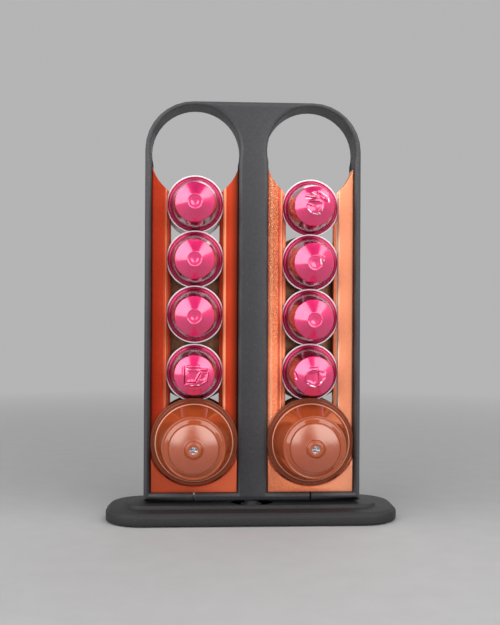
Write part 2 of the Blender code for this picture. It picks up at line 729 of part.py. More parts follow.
def make_feet(collection, material):
    """Makes the four rubber feet, from one mesh."""
    mesh = cylinder_mesh("rubber_foot", FOOT_RADIUS, 0, FOOT_HEIGHT)
    for number, (x, y) in enumerate(foot_places(), start=1):
        foot = add_object(f"rubber_foot_{number}", mesh, collection, material)
        foot.location = (x, y, 0)
        smooth(foot)


def make_swivel(collection, cutters, finishes, parent):
    """Makes the bolt, its washer and the threaded insert in the frame."""
    ceiling = BASE_UNDERSIDE_Z + COUNTERBORE_DEPTH
    washer_top = ceiling - FIT_GAP
    washer_bottom = washer_top - WASHER_THICKNESS
    seat = washer_bottom - FIT_GAP
    head_bottom = seat - BOLT_HEAD_HEIGHT
    tip = FRAME_BOTTOM_Z + BOLT_REACH

    edge = BOLT_RADIUS - BOLT_SOCKET_RADIUS
    bolt_profile = [
        (0, tip),
        (BOLT_RADIUS - edge, tip),
        (BOLT_RADIUS, tip - edge),
        (BOLT_RADIUS, seat),
        (BOLT_HEAD_RADIUS, seat),
        (BOLT_HEAD_RADIUS, head_bottom + edge),
        (BOLT_HEAD_RADIUS - edge, head_bottom),
        (0, head_bottom),
    ]
    bolt = add_object("pivot_bolt", turned_mesh("pivot_bolt", bolt_profile), collection,
                      finishes["steel"], parent)
    add_screw(bolt, BORE_SEGMENTS)
    socket = cylinder_mesh("socket", BOLT_SOCKET_RADIUS, head_bottom - OVERRUN,
                           head_bottom + BOLT_SOCKET_DEPTH, segments=6)
    add_boolean(bolt, socket, "DIFFERENCE", cutters)

    hole = BOLT_RADIUS + FIT_GAP
    for name, low, high, radius in (
            ("pivot_washer", washer_bottom, washer_top, WASHER_RADIUS),
            ("threaded_insert", FRAME_BOTTOM_Z + FIT_GAP,
             FRAME_BOTTOM_Z + FIT_GAP + THREADED_INSERT_LENGTH, THREADED_INSERT_RADIUS)):
        ring = [(radius, high), (radius, low), (hole, low), (hole, high)]
        finish = finishes["brass"] if name == "threaded_insert" else finishes["steel"]
        piece = add_object(name, turned_mesh(name, ring, closed=True), collection, finish, parent)
        add_screw(piece, BORE_SEGMENTS)


def main():
    """Builds the dispenser."""
    reset_scene()
    collection = new_collection("coffee_capsule_dispenser")
    cutters = new_collection("cutters")
    finishes = {
        "frame": new_material("charcoal_print", (0.045, 0.045, 0.05), 0.62, 0.0),
        "base": new_material("charcoal_print_base", (0.045, 0.045, 0.05), 0.65, 0.0),
        "insert": new_material("copper_silk_print", (0.55, 0.10, 0.03), 0.42, 0.35),
        "small_cup": new_material("magenta_lacquer", (0.72, 0.02, 0.22), 0.28, 0.75),
        "small_lid": new_material("silver_foil", (0.72, 0.72, 0.73), 0.32, 1.0),
        "large_cup": new_material("terracotta_plastic", (0.46, 0.13, 0.06), 0.25, 0.0),
        "large_lid": new_material("bronze_foil", (0.30, 0.15, 0.09), 0.38, 0.9),
        "steel": new_material("zinc_plated_steel", (0.6, 0.6, 0.62), 0.3, 1.0),
        "brass": new_material("brass", (0.75, 0.55, 0.25), 0.35, 1.0),
        "rubber": new_material("black_rubber", (0.02, 0.02, 0.02), 0.85, 0.0),
    }

    rack = bpy.data.objects.new("rack_swivel", None)
    collection.objects.link(rack)

    make_base(collection, cutters, finishes["base"])
    make_feet(collection, finishes["rubber"])
    make_frame(collection, cutters, finishes["frame"], rack)
    make_insert("left_insert", -COLUMN_X, collection, cutters, finishes["insert"], rack)
    make_insert("right_insert", COLUMN_X, collection, cutters, finishes["insert"], rack)
    make_swivel(collection, cutters, finishes, rack)

    lone_large = Capsule(True, LARGE_DROOP * LONE_DROOP_SHARE)
    large = Capsule(True, LARGE_DROOP)
    small = Capsule(False, SMALL_DROOP)
    upright_small = Capsule(False, 0.0)
    stacks = {
        "front_left": (-COLUMN_X, -1, [large, upright_small, small, small, small]),
        "front_right": (COLUMN_X, -1, [lone_large, small, small, small, small]),
        "rear_left": (-COLUMN_X, 1, [large, large, large, small]),
        "rear_right": (COLUMN_X, 1, [large, large, large]),
    }
    meshes = make_capsule_meshes()
    for name, (column_x, facing, stack) in stacks.items():
        make_capsules(name, stack, column_x, facing, meshes, finishes, collection, rack)


main()
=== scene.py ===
"""Coffee capsule dispenser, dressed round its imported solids.

The rack, its rail inserts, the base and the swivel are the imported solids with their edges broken
and printed, metal or rubber finishes. Each capsule is turned again as thin ware, with its curled
rim, seal, recess, dents and lid. Lengths are in metres and angles in degrees, unless a line says
otherwise.
"""

import logging
import math
from dataclasses import dataclass, field
from enum import Enum
from functools import partial, reduce
from typing import Callable, Sequence

import bpy
import numpy as np
from mathutils import Matrix, Vector


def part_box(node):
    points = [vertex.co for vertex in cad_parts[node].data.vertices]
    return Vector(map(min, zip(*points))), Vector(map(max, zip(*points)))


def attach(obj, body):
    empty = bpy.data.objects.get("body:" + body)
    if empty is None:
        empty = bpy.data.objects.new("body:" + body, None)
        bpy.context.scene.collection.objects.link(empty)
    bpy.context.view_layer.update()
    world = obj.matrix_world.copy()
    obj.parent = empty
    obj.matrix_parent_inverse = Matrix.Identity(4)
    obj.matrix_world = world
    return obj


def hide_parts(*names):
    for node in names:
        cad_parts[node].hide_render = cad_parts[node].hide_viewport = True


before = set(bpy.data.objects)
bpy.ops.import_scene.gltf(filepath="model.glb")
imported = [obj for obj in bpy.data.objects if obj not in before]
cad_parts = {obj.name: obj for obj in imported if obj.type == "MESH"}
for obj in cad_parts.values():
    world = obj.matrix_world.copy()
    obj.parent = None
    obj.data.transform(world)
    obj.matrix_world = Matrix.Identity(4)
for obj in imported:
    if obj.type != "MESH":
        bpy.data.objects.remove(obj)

Colour = tuple[float, float, float]
Socket = bpy.types.NodeSocket
Outputs = bpy.types.NodeOutputs
Results = dict[str, Socket]
Shape = Callable[[np.ndarray, np.ndarray, np.ndarray], np.ndarray]

LOG = logging.getLogger("capsule_dispenser")
MM = 0.001
# Where the columns' middles, the bores' edges and the tops of the inserts' feet lie
COLUMN_X = 37.1 * MM
COLUMNS = (-COLUMN_X, COLUMN_X)
BORE_REACH = 28.9 * MM
FOOT_TOP = 49.7 * MM
# The colour of painted deep shade on print
SHADE = (0.004, 0.004, 0.004)


class LayerAxis(Enum):
    """The direction in which a printed piece's layers lie on each other."""

    DEEP = (0.0, 1.0, 0.0)
    UP = (0.0, 0.0, 1.0)


class Nose(Enum):
    """The state of a small capsule's nose."""

    RECESSED = "recessed"
    CRUSHED = "crushed"


class CapsuleKind(Enum):
    """The two kinds of capsule."""

    SMALL = "small"
    LARGE = "large"


class Graph:
    """A node tree with short calls that add nodes and join their sockets."""

    def __init__(self, tree: bpy.types.NodeTree) -> None:
        """Takes the tree that the nodes go in."""
        self.tree = tree

    def fill(self, node: bpy.types.Node, sockets: dict[int | str, object]) -> bpy.types.Node:
        """Fills a node's inputs.

        Args:
            node: The node.
            sockets: Values or other nodes' outputs, by the name or number of the input.

        Returns:
            The same node.
        """
        for name, value in sockets.items():
            if isinstance(value, Socket):
                self.tree.links.new(value, node.inputs[name])
            else:
                node.inputs[name].default_value = value
        return node

    def add(self, kind: str, sockets: dict[int | str, object] | None = None,
            **settings: object) -> bpy.types.Node:
        """Adds a node.

        Args:
            kind: The node's type name.
            sockets: What fills its inputs. See fill.
            settings: The node's own settings.

        Returns:
            The node.
        """
        node = self.tree.nodes.new(kind)
        for name, value in settings.items():
            setattr(node, name, value)
        return self.fill(node, sockets or {})

    def math(self, operation: str, *values: object) -> Socket:
        """Returns what a Math node works out from numbers or sockets."""
        return self.add("ShaderNodeMath", dict(enumerate(values)), operation=operation).outputs[0]

    def vector(self, operation: str, *values: object) -> Outputs:
        """Returns the outputs of a Vector Math node."""
        return self.add("ShaderNodeVectorMath", dict(enumerate(values)), operation=operation).outputs

    def plus(self, first: object, second: object) -> Socket:
        """Returns the sum of two numbers or sockets."""
        return self.math("ADD", first, second)

    def times(self, *values: object) -> Socket:
        """Returns the product of numbers or sockets."""
        return reduce(partial(self.math, "MULTIPLY"), values)

    def away(self, first: Socket, second: Socket) -> Socket:
        """Returns how far from the axis a point is, from its places on two axes."""
        return self.math("SQRT", self.plus(self.times(first, first), self.times(second, second)))

    def within(self, value: Socket, low: float, high: float) -> Socket:
        """Returns 1 where a value lies between two limits, and otherwise 0."""
        return self.times(self.math("GREATER_THAN", value, low), self.math("LESS_THAN", value, high))

    def blend(self, factor: object, first: Colour | Socket, second: Colour | Socket) -> Socket:
        """Returns the mix of two colours, with a factor's share of the second."""
        one, two = (c if isinstance(c, Socket) else (*c, 1.0) for c in (first, second))
        return self.add("ShaderNodeMix", {0: factor, 6: one, 7: two}, data_type="RGBA").outputs[2]

    def ramp(self, value: Socket, low: float, high: float, first: object = 0.0,
             last: object = 1.0) -> Socket:
        """Maps a value from one range to another, and stops at its ends.

        Args:
            value: The socket to map.
            low: Where the first result is given.
            high: Where the last result is given.
            first: The result at low.
            last: The result at high.

        Returns:
            The mapped value.
        """
        node = self.add("ShaderNodeMapRange", {"Value": value, "From Min": low, "From Max": high,
                                               "To Min": first, "To Max": last})
        return node.outputs[0]

    def noise(self, place: Socket, scale: object, detail: float = 2.0, rough: float = 0.5) -> Socket:
        """Adds a Noise Texture.

        Args:
            place: The coordinates.
            scale: Its scale, in cycles per metre.
            detail: How many finer layers it has.
            rough: How strong they are.

        Returns:
            Its grey value.
        """
        node = self.add("ShaderNodeTexNoise", {"Vector": place, "Scale": scale, "Detail": detail,
                                               "Roughness": rough})
        return node.outputs[0]

    def streaks(self, along: Socket, scale: object, detail: float) -> Socket:
        """Adds a noise that changes along one direction only.

        Args:
            along: The place in that direction.
            scale: Its scale.
            detail: How many finer layers it has.

        Returns:
            Its grey value.
        """
        node = self.add("ShaderNodeTexNoise", {"W": along, "Scale": scale, "Detail": detail},
                        noise_dimensions="1D")
        return node.outputs[0]

    def place(self) -> Socket:
        """Returns the coordinates of a point on the piece, in metres."""
        return self.add("ShaderNodeTexCoord").outputs["Object"]

    def axes(self, vector: Socket) -> list[Socket]:
        """Returns a vector's X, Y and Z."""
        return self.add("ShaderNodeSeparateXYZ", {0: vector}).outputs[:3]


class EffectGroup:
    """A shader node group that several finishes share, built once. Its outputs are numbers."""

    made: dict[str, bpy.types.NodeTree] = {}

    name = "effect"
    inputs: dict[str, object] = {}
    outputs: tuple[str, ...] = ()

    def tree(self) -> bpy.types.NodeTree:
        """Builds the group, the first time.

        Returns:
            Its tree.
        """
        if self.name not in self.made:
            tree = bpy.data.node_groups.new(self.name, "ShaderNodeTree")
            for label, value in self.inputs.items():
                kind = "NodeSocketVector" if isinstance(value, tuple) else "NodeSocketFloat"
                socket = tree.interface.new_socket(label, in_out="INPUT", socket_type=kind)
                socket.default_value = value
            for label in self.outputs:
                tree.interface.new_socket(label, in_out="OUTPUT", socket_type="NodeSocketFloat")
            graph = Graph(tree)
            graph.add("NodeGroupOutput", self.build(graph, graph.add("NodeGroupInput").outputs))
            self.made[self.name] = tree
        return self.made[self.name]

    def build(self, graph: Graph, given: Outputs) -> Results:
        """Adds the group's nodes and returns its results by name."""
        raise NotImplementedError

    def use(self, graph: Graph, **values: object) -> Outputs:
        """Places the group in a material.

        Args:
            graph: The material's graph.
            values: What fills its inputs, by name, with _ for a space.

        Returns:
            The node's outputs.
        """
        node = graph.add("ShaderNodeGroup", node_tree=self.tree())
        sockets = {name.replace("_", " "): value for name, value in values.items()}
        return graph.fill(node, sockets).outputs


class PrintGrain(EffectGroup):
    """The skin of a printed piece: fine grain, blotches and the lines of its layers."""

    name = "print_grain"
    inputs = {"Place": (0, 0, 0), "Grain": 2600.0, "Blotch": 650.0, "Layer Axis": (0, 0, 1),
              "Layer Height": 0.28 * MM, "Layer Share": 0.5}
    outputs = ("Height", "Tone")

    def build(self, graph: Graph, given: Outputs) -> Results:
        """Adds the grain's nodes.

        Args:
            graph: The group's graph.
            given: The outputs of its input node.

        Returns:
            The skin's height, and its tone from dark to light.
        """
        share = given["Layer Share"]
        fine = graph.noise(given["Place"], given["Grain"], 3.0, 0.6)
        blotch = graph.noise(given["Place"], given["Blotch"])
        along = graph.vector("DOT_PRODUCT", given["Place"], given["Layer Axis"])["Value"]
        count = graph.math("DIVIDE", along, given["Layer Height"])
        wave = graph.math("ABSOLUTE", graph.math("SINE", graph.times(count, math.pi)))
        streak = graph.streaks(count, 0.55, 2.0)
        lines = graph.plus(graph.times(wave, 0.6), streak)
        tone = graph.plus(graph.times(fine, 0.45), graph.times(blotch, 0.55))
        tone = graph.plus(graph.times(graph.math("SUBTRACT", streak, 0.5), share), tone)
        return {"Height": graph.plus(fine, graph.times(lines, share)), "Tone": graph.ramp(tone, 0.3, 0.7)}


class EdgeWear(EffectGroup):
    """A mask of the edges, where handling has rubbed a finish lighter."""

    name = "edge_wear"
    inputs = {"Place": (0, 0, 0), "Radius": 0.6 * MM}
    outputs = ("Mask",)

    def build(self, graph: Graph, given: Outputs) -> Results:
        """Adds the mask's nodes.

        Args:
            graph: The group's graph.
            given: The outputs of its input node.

        Returns:
            The mask.
        """
        rounded = graph.add("ShaderNodeBevel", {"Radius": given["Radius"]}, samples=4).outputs[0]
        flat = graph.add("ShaderNodeNewGeometry").outputs["Normal"]
        same = graph.vector("DOT_PRODUCT", rounded, flat)["Value"]
        patchy = graph.ramp(graph.noise(given["Place"], 900.0), 0.3, 0.7, 0.55, 1.0)
        turned = graph.ramp(graph.math("SUBTRACT", 1.0, same), 0.01, 0.2)
        return {"Mask": graph.times(turned, patchy)}


class ChamferMask(EffectGroup):
    """A mask of the faces that slope between the front or back and the sides."""

    name = "chamfer_mask"
    inputs = {"Normal": (0, 0, 1)}
    outputs = ("Mask", "Sides")

    def build(self, graph: Graph, given: Outputs) -> Results:
        """Adds the masks' nodes.

        Args:
            graph: The group's graph.
            given: The outputs of its input node.

        Returns:
            The mask of the sloping faces, and of the faces that turn sideways.
        """
        deep = graph.math("ABSOLUTE", graph.axes(given["Normal"])[1])
        slope = graph.times(graph.ramp(deep, 0.30, 0.55), graph.ramp(deep, 0.90, 0.985, 1.0, 0.0))
        return {"Mask": slope, "Sides": graph.ramp(deep, 0.15, 0.3, 1.0, 0.0)}


class DustSpecks(EffectGroup):
    """A mask of small specks of dust."""

    name = "dust_specks"
    inputs = {"Place": (0, 0, 0), "Spacing": 3.5 * MM, "Share": 0.3}
    outputs = ("Mask",)

    def build(self, graph: Graph, given: Outputs) -> Results:
        """Adds the specks' nodes.

        Args:
            graph: The group's graph.
            given: The outputs of its input node.

        Returns:
            The mask.
        """
        scale = graph.math("DIVIDE", 1.0, given["Spacing"])
        noise = graph.add("ShaderNodeTexNoise", {"Vector": given["Place"], "Scale": 3000.0})
        jitter = graph.vector("MULTIPLY", noise.outputs[1], (0.3 * MM,) * 3)[0]
        bent = graph.vector("ADD", given["Place"], jitter)[0]
        cells = graph.add("ShaderNodeTexVoronoi", {"Vector": bent, "Scale": scale}).outputs
        chance = graph.add("ShaderNodeSeparateColor", {0: cells["Color"]}).outputs
        near = graph.ramp(cells["Distance"], 0.03, 0.07, 1.0, 0.0)
        chosen = graph.math("LESS_THAN", chance[0], given["Share"])
        return {"Mask": graph.times(near, chosen, chance[1])}


class ThinMetalRipple(EffectGroup):
    """The shallow ripple and drawing lines of thin sheet metal."""

    name = "thin_metal_ripple"
    inputs = {"Place": (0, 0, 0), "Ripple": 180.0, "Lines": 1500.0}
    outputs = ("Height", "Tone")

    def build(self, graph: Graph, given: Outputs) -> Results:
        """Adds the ripple's nodes.

        Args:
            graph: The group's graph.
            given: The outputs of its input node.

        Returns:
            The metal's height, and its tone from dark to light.
        """
        ripple = graph.noise(given["Place"], given["Ripple"], 1.0)
        x, y, z = graph.axes(given["Place"])
        rings = graph.streaks(graph.plus(graph.away(x, y), z), given["Lines"], 3.0)
        grain = graph.noise(given["Place"], 4500.0, 2.0, 0.6)
        fine = graph.plus(graph.times(rings, 0.5), graph.times(grain, 0.5))
        return {"Height": graph.plus(ripple, graph.times(fine, 0.06)),
                "Tone": graph.ramp(fine, 0.35, 0.65)}


class FoilCrinkle(EffectGroup):
    """The creases of thin foil."""

    name = "foil_crinkle"
    inputs = {"Place": (0, 0, 0), "Crease": 260.0}
    outputs = ("Height", "Tone")

    def build(self, graph: Graph, given: Outputs) -> Results:
        """Adds the creases' nodes.

        Args:
            graph: The group's graph.
            given: The outputs of its input node.

        Returns:
            The foil's height, and its tone from dark to light.
        """
        cells = graph.add("ShaderNodeTexVoronoi", {"Vector": given["Place"], "Scale": given["Crease"]},
                          feature="F1").outputs["Distance"]
        soft = graph.noise(given["Place"], 420.0, 3.0)
        return {"Height": graph.plus(graph.times(cells, 0.6), soft), "Tone": graph.ramp(soft, 0.3, 0.7)}


@dataclass(frozen=True)
class Finish:
    """A finish and the record's slot that it is for.

    Args:
        name: The material's name.
        slot: The record's material slot; not used.
        colour: Its colour, as linear red, green and blue.
        light: The colour of its worn edges, dust or highlights in the grain, and of painted highlights and
            painted light on printed pieces.
        roughness: How matt it is.
        metallic: How much of it is metal.
    """

    name: str
    slot: str
    colour: Colour
    light: Colour
    roughness: float
    metallic: float = 0.0

    def start(self) -> tuple[bpy.types.Material, Graph, bpy.types.Node]:
        """Starts the material with its plain values.

        Returns:
            The material, its graph and its shader.
        """
        material = bpy.data.materials.new(self.name)
        material.use_nodes = True
        material.diffuse_color = (*self.colour, 1.0)
        graph = Graph(material.node_tree)
        shader = graph.fill(material.node_tree.nodes["Principled BSDF"], {
            "Base Color": (*self.colour, 1.0), "Roughness": self.roughness, "Metallic": self.metallic})
        return material, graph, shader

    def rough(self, graph: Graph, tone: Socket, first: float, last: float) -> Socket:
        """Returns a roughness that differs from the plain one by first to last as a tone goes up."""
        return graph.ramp(tone, 0.0, 1.0, self.roughness + first, self.roughness + last)

    def bump(self, graph: Graph, height: Socket, distance: float, round_radius: float = 0.0) -> Socket:
        """Adds a bump.

        Args:
            graph: The material's graph.
            height: The height, from 0 to about 1.
            distance: How high 1 stands, in metres.
            round_radius: How far the piece's edges look rounded.

        Returns:
            The normal.
        """
        normal = graph.add("ShaderNodeBump", {"Distance": distance, "Height": height})
        if round_radius:
            rounded = graph.add("ShaderNodeBevel", {"Radius": round_radius}, samples=6).outputs[0]
            graph.fill(normal, {"Normal": rounded})
        return normal.outputs[0]

    def material(self) -> bpy.types.Material:
        """Returns the finish as a material."""
        raise NotImplementedError


@dataclass(frozen=True)
class Dust:
    """Specks of dust on a finish.

    Args:
        gap: How far apart the places for a speck are.
        share: How many of them have one.
        cover: How much of the dust's colour they show.
        colour: That colour, as linear red, green and blue.
    """

    gap: float
    share: float
    cover: float
    colour: Colour

    def over(self, graph: Graph, place: Socket, under: Socket) -> Socket:
        """Lays the dust over a colour and returns the colour with it."""
        specks = DustSpecks().use(graph, Place=place, Spacing=self.gap, Share=self.share)
        return graph.blend(graph.times(specks["Mask"], self.cover), under, self.colour)


@dataclass(frozen=True)
class PaintedLightBand:
    """An upright band of painted light or painted shade on a printed piece, lighter or darker than the rest.

    Args:
        low: Where it starts, across the piece.
        high: Where it ends.
        share: How much of its own colour it has.
        colour: That colour, as linear red, green and blue.
        soft: How far its edges fade.
        foot: True for the piece's foot, false for its rails.
    """

    low: float
    high: float
    share: float
    colour: Colour
    soft: float = 0.3 * MM
    foot: bool = False

    def over(self, graph: Graph, across: Socket, up: Socket, under: Socket) -> Socket:
        """Lays the band over a colour.

        Args:
            graph: The material's graph.
            across: The place across the piece.
            up: The height on the piece.
            under: The colour under the band.

        Returns:
            The colour with the band.
        """
        mask = graph.times(graph.ramp(across, self.low, self.low + self.soft, 0.0, self.share),
                           graph.ramp(across, self.high - min(self.soft, MM), self.high, 1.0, 0.0),
                           graph.math("LESS_THAN" if self.foot else "GREATER_THAN", up, FOOT_TOP))
        return graph.blend(mask, under, self.colour)


@dataclass(frozen=True)
class Pimples:
    """An upright band of coarse grain on a printed piece, flatter towards its foot.

    Args:
        low: Where it starts, across the piece.
        high: Where it ends.
        flat: The height up to which it is flat.
        full: The height from which it is full.
        least: How much of it is left where it is flat.
        soft: How far its edges fade.
        scale: Its scale, in cycles per metre.
    """

    low: float
    high: float
    flat: float
    full: float
    least: float
    soft: float = 0.6 * MM
    scale: float = 1100.0

    def over(self, graph: Graph, place: Socket, across: Socket, up: Socket, under: Socket) -> Socket:
        """Lays the band over a height.

        Args:
            graph: The material's graph.
            place: The point's coordinates.
            across: The place across the piece.
            up: The height on the piece.
            under: The grain's height under the band.

        Returns:
            The grain's height with the band.
        """
        band = graph.times(graph.ramp(across, self.low, self.low + self.soft),
                           graph.ramp(across, self.high - self.soft, self.high, 1.0, 0.0),
                           graph.ramp(up, self.flat, self.full, self.least, 1.0))
        pimples = graph.ramp(graph.noise(place, self.scale, 2.0, 0.6), 0.42, 0.66)
        return graph.plus(under, graph.times(pimples, band))


@dataclass(frozen=True)
class Pocket:
    """Painted shade in a round pocket on a piece's axis, and painted light on the boss that stands in it.

    Args:
        boss: The boss's radius.
        edge: The pocket's radius.
        shade: How dark the pocket's painted shade is.
        lit: How many times the finish's light colour the boss's painted light has.
    """

    boss: float
    edge: float
    shade: float = 0.9
    lit: float = 1.7


@dataclass(frozen=True)
class PrintedPlastic(Finish):
    """Filament print: matt or silky, with grain, layer lines, rubbed edges and a little dust, and painted
    highlights and painted shade.

    Args:
        layer_axis: How its layers lie.
        layer_height: How thick they are.
        layer_share: How strongly they show.
        grain_depth: How deep its fine grain is.
        contrast: How far its grain goes from the colour to dark and light.
        wear: How light its rubbed edges are.
        dust: The dust on it.
        ior: How strongly it shines.
        tint: The tint of its shine.
        pimples: A band of coarse grain, if it has one.
        bump_depth: How high the tallest grain stands.
        round_radius: How far its edges look rounded.
        highlight_paint: How strongly a painted highlight lightens its sloping faces.
        highlight_paint_reach: The least and most distance from a column's middle of those faces.
        painted_light_bands: Its bands of painted light and painted shade.
        bore_shade: How strongly painted shade darkens the faces inside its bores.
        pocket: Its pocket's painted shade and its boss's painted light, if it has one.
    """

    layer_axis: LayerAxis = LayerAxis.UP
    layer_height: float = 0.28 * MM
    layer_share: float = 0.5
    grain_depth: float = 0.05 * MM
    contrast: float = 0.35
    wear: float = 0.5
    dust: Dust = Dust(3.5 * MM, 0.3, 0.55, (0.55, 0.53, 0.5))
    ior: float = 1.5
    tint: Colour = (1.0, 1.0, 1.0)
    pimples: Pimples | None = None
    bump_depth: float = 0.16 * MM
    round_radius: float = 1.2 * MM
    highlight_paint: float = 0.5
    highlight_paint_reach: tuple[float, float] = (0.0, 1.0)
    painted_light_bands: tuple[PaintedLightBand, ...] = ()
    bore_shade: float = 0.0
    pocket: Pocket | None = None

    def skin(self, graph: Graph, place: Socket, tone: Socket) -> Socket:
        """Colours the grain and the rubbed edges, and paints the bands of light and shade, the highlights on
        sloping faces and the shade inside the bores.

        Args:
            graph: The material's graph.
            place: The point's coordinates.
            tone: The grain's tone.

        Returns:
            The colour.
        """
        dark, bright = (tuple(c * (1.0 + way * self.contrast) for c in self.colour) for way in (-1, 1))
        edge = EdgeWear().use(graph, Place=place)["Mask"]
        skin = graph.blend(graph.times(edge, self.wear), graph.blend(tone, dark, bright), self.light)
        across, _, up = graph.axes(place)
        # Bands of painted light and painted shade
        for band in self.painted_light_bands:
            skin = band.over(graph, across, up, skin)
        faces = ChamferMask().use(graph, Normal=graph.add("ShaderNodeTexCoord").outputs["Normal"])
        away = graph.math("ABSOLUTE", graph.math("SUBTRACT", graph.math("ABSOLUTE", across), COLUMN_X))
        # Painted highlight: sloping faces within reach take the finish's light colour
        painted_highlight = graph.times(faces["Mask"], graph.within(away, *self.highlight_paint_reach), self.highlight_paint)
        skin = graph.blend(painted_highlight, skin, self.light)
        # Painted shade on the faces that turn sideways inside the bores
        if self.bore_shade:
            inside = graph.math("LESS_THAN", away, BORE_REACH)
            skin = graph.blend(graph.times(faces["Sides"], inside, self.bore_shade), skin, SHADE)
        return skin

    def material(self) -> bpy.types.Material:
        """Makes the material.

        Returns:
            It.
        """
        material, graph, shader = self.start()
        place = graph.place()
        across, deep, up = graph.axes(place)
        grain = PrintGrain().use(graph, Place=place, Layer_Axis=self.layer_axis.value,
                                 Layer_Height=self.layer_height, Layer_Share=self.layer_share)
        skin = self.skin(graph, place, grain["Tone"])
        if self.pocket:
            out = graph.away(across, deep)
            pocket = graph.within(out, self.pocket.boss, self.pocket.edge)
            # Painted shade in the pocket
            skin = graph.blend(graph.times(pocket, self.pocket.shade), skin, SHADE)
            # Painted light on the boss
            skin = graph.blend(graph.math("LESS_THAN", out, self.pocket.boss), skin,
                               tuple(c * self.pocket.lit for c in self.light))
            graph.fill(shader, {"Specular IOR Level": graph.ramp(pocket, 0.0, 1.0, 0.5, 0.0)})
        height = graph.times(grain["Height"], self.grain_depth / self.bump_depth)
        if self.pimples:
            height = self.pimples.over(graph, place, across, up, height)
        graph.fill(shader, {"Base Color": self.dust.over(graph, place, skin),
                            "Roughness": self.rough(graph, grain["Tone"], 0.07, -0.07),
                            "IOR": self.ior, "Specular Tint": (*self.tint, 1.0),
                            "Normal": self.bump(graph, height, self.bump_depth, self.round_radius)})
        return material


@dataclass(frozen=True)
class LacqueredMetal(Finish):
    """Thin drawn aluminium under clear or coloured lacquer.

    Args:
        coat: How much lacquer lies on it.
        coat_ior: How strongly the lacquer shines.
        coat_roughness: How matt the lacquer is.
        ripple_depth: How deep its ripple is.
        painted_shade_wall_share: How much of the colour a cup's wall keeps under its painted shade.
        wall_height: The height up to which it is wall.
        flange_ior: How strongly the lacquer shines on a cup's flange.
        flange_height: The height up to which it is flange.
        dust: The dust on it.
    """

    coat: float = 1.0
    coat_ior: float = 1.9
    coat_roughness: float = 0.12
    ripple_depth: float = 0.05 * MM
    painted_shade_wall_share: float = 1.0
    wall_height: float = 21.9 * MM
    flange_ior: float = 1.5
    flange_height: float = 3 * MM
    dust: Dust = Dust(4.5 * MM, 0.25, 0.4, (0.7, 0.6, 0.6))

    def material(self) -> bpy.types.Material:
        """Makes the material.

        Returns:
            It.
        """
        material, graph, shader = self.start()
        place = graph.place()
        ripple = ThinMetalRipple().use(graph, Place=place)
        tint = graph.blend(graph.times(ripple["Tone"], 0.5), self.colour, self.light)
        graph.fill(shader, {"Coat Weight": self.coat, "Coat Roughness": self.coat_roughness,
                            "Coat IOR": self.coat_ior})
        # Painted shade on the cup's wall and flange, which are also more metallic
        if self.painted_shade_wall_share < 1:
            up = graph.axes(place)[2]
            wall = graph.ramp(up, self.wall_height - 0.2 * MM, self.wall_height, 1.0, 0.0)
            tint = graph.blend(wall, tint, tuple(c * self.painted_shade_wall_share for c in self.colour))
            clear = graph.ramp(up, self.flange_height, self.flange_height + MM,
                               self.flange_ior, self.coat_ior)
            graph.fill(shader, {"Metallic": graph.ramp(wall, 0.0, 1.0, self.metallic, 1.0),
                                "Coat IOR": clear})
        graph.fill(shader, {"Base Color": self.dust.over(graph, place, tint),
                            "Roughness": self.rough(graph, ripple["Tone"], -0.03, 0.05),
                            "Normal": self.bump(graph, ripple["Height"], self.ripple_depth)})
        return material


@dataclass(frozen=True)
class MouldedPlastic(Finish):
    """Moulded plastic with a warm shine, glossy or finely textured.

    Args:
        ior: How strongly it shines.
        shine: The tint of its shine, as linear red, green and blue.
        texture: How deep its fine texture is, as a share.
        depth: How high its tallest unevenness stands.
        dust: The dust on it.
    """

    ior: float = 1.8
    shine: Colour = (1.0, 0.88, 0.80)
    texture: float = 0.12
    depth: float = 0.03 * MM
    dust: Dust = Dust(4.0 * MM, 0.3, 0.5, (0.7, 0.62, 0.58))

    def material(self) -> bpy.types.Material:
        """Makes the material.

        Returns:
            It.
        """
        material, graph, shader = self.start()
        place = graph.place()
        flow = graph.noise(place, 240.0, 3.0)
        tint = graph.blend(graph.ramp(flow, 0.3, 0.7, 0.0, 0.5), self.colour, self.light)
        grain = graph.times(graph.noise(place, 3600.0, 2.0, 0.6), self.texture)
        height = graph.plus(grain, graph.times(flow, 0.8))
        graph.fill(shader, {"Base Color": self.dust.over(graph, place, tint),
                            "Roughness": self.rough(graph, graph.ramp(flow, 0.3, 0.7), -0.02, 0.02),
                            "IOR": self.ior, "Specular Tint": (*self.shine, 1.0),
                            "Normal": self.bump(graph, height, self.depth)})
        return material


@dataclass(frozen=True)
class Foil(Finish):
    """Crinkled metal foil.

    Args:
        crease_depth: How deep its creases are.
    """

    crease_depth: float = 0.12 * MM

    def material(self) -> bpy.types.Material:
        """Makes the material.

        Returns:
            It.
        """
        material, graph, shader = self.start()
        crinkle = FoilCrinkle().use(graph, Place=graph.place())
        graph.fill(shader, {"Base Color": graph.blend(crinkle["Tone"], self.colour, self.light),
                            "Roughness": self.rough(graph, crinkle["Tone"], -0.05, 0.08),
                            "Normal": self.bump(graph, crinkle["Height"], self.crease_depth)})
        return material


@dataclass(frozen=True)
class MachinedMetal(Finish):
    """Turned or plated metal, with tool marks and lighter edges.

    Args:
        mark_depth: How deep its tool marks are.
        edge_radius: How far in from its edges it is lighter.
    """

    mark_depth: float = 0.02 * MM
    edge_radius: float = 0.3 * MM

    def material(self) -> bpy.types.Material:
        """Makes the material.

        Returns:
            It.
        """
        material, graph, shader = self.start()
        place = graph.place()
        ripple = ThinMetalRipple().use(graph, Place=place, Ripple=500.0, Lines=5000.0)
        edge = EdgeWear().use(graph, Place=place, Radius=self.edge_radius)
        plain = graph.blend(ripple["Tone"], tuple(c * 0.85 for c in self.colour), self.colour)
        graph.fill(shader, {"Base Color": graph.blend(graph.times(edge["Mask"], 0.6), plain, self.light),
                            "Roughness": self.rough(graph, ripple["Tone"], -0.06, 0.08),
                            "Normal": self.bump(graph, ripple["Height"], self.mark_depth)})
        return material


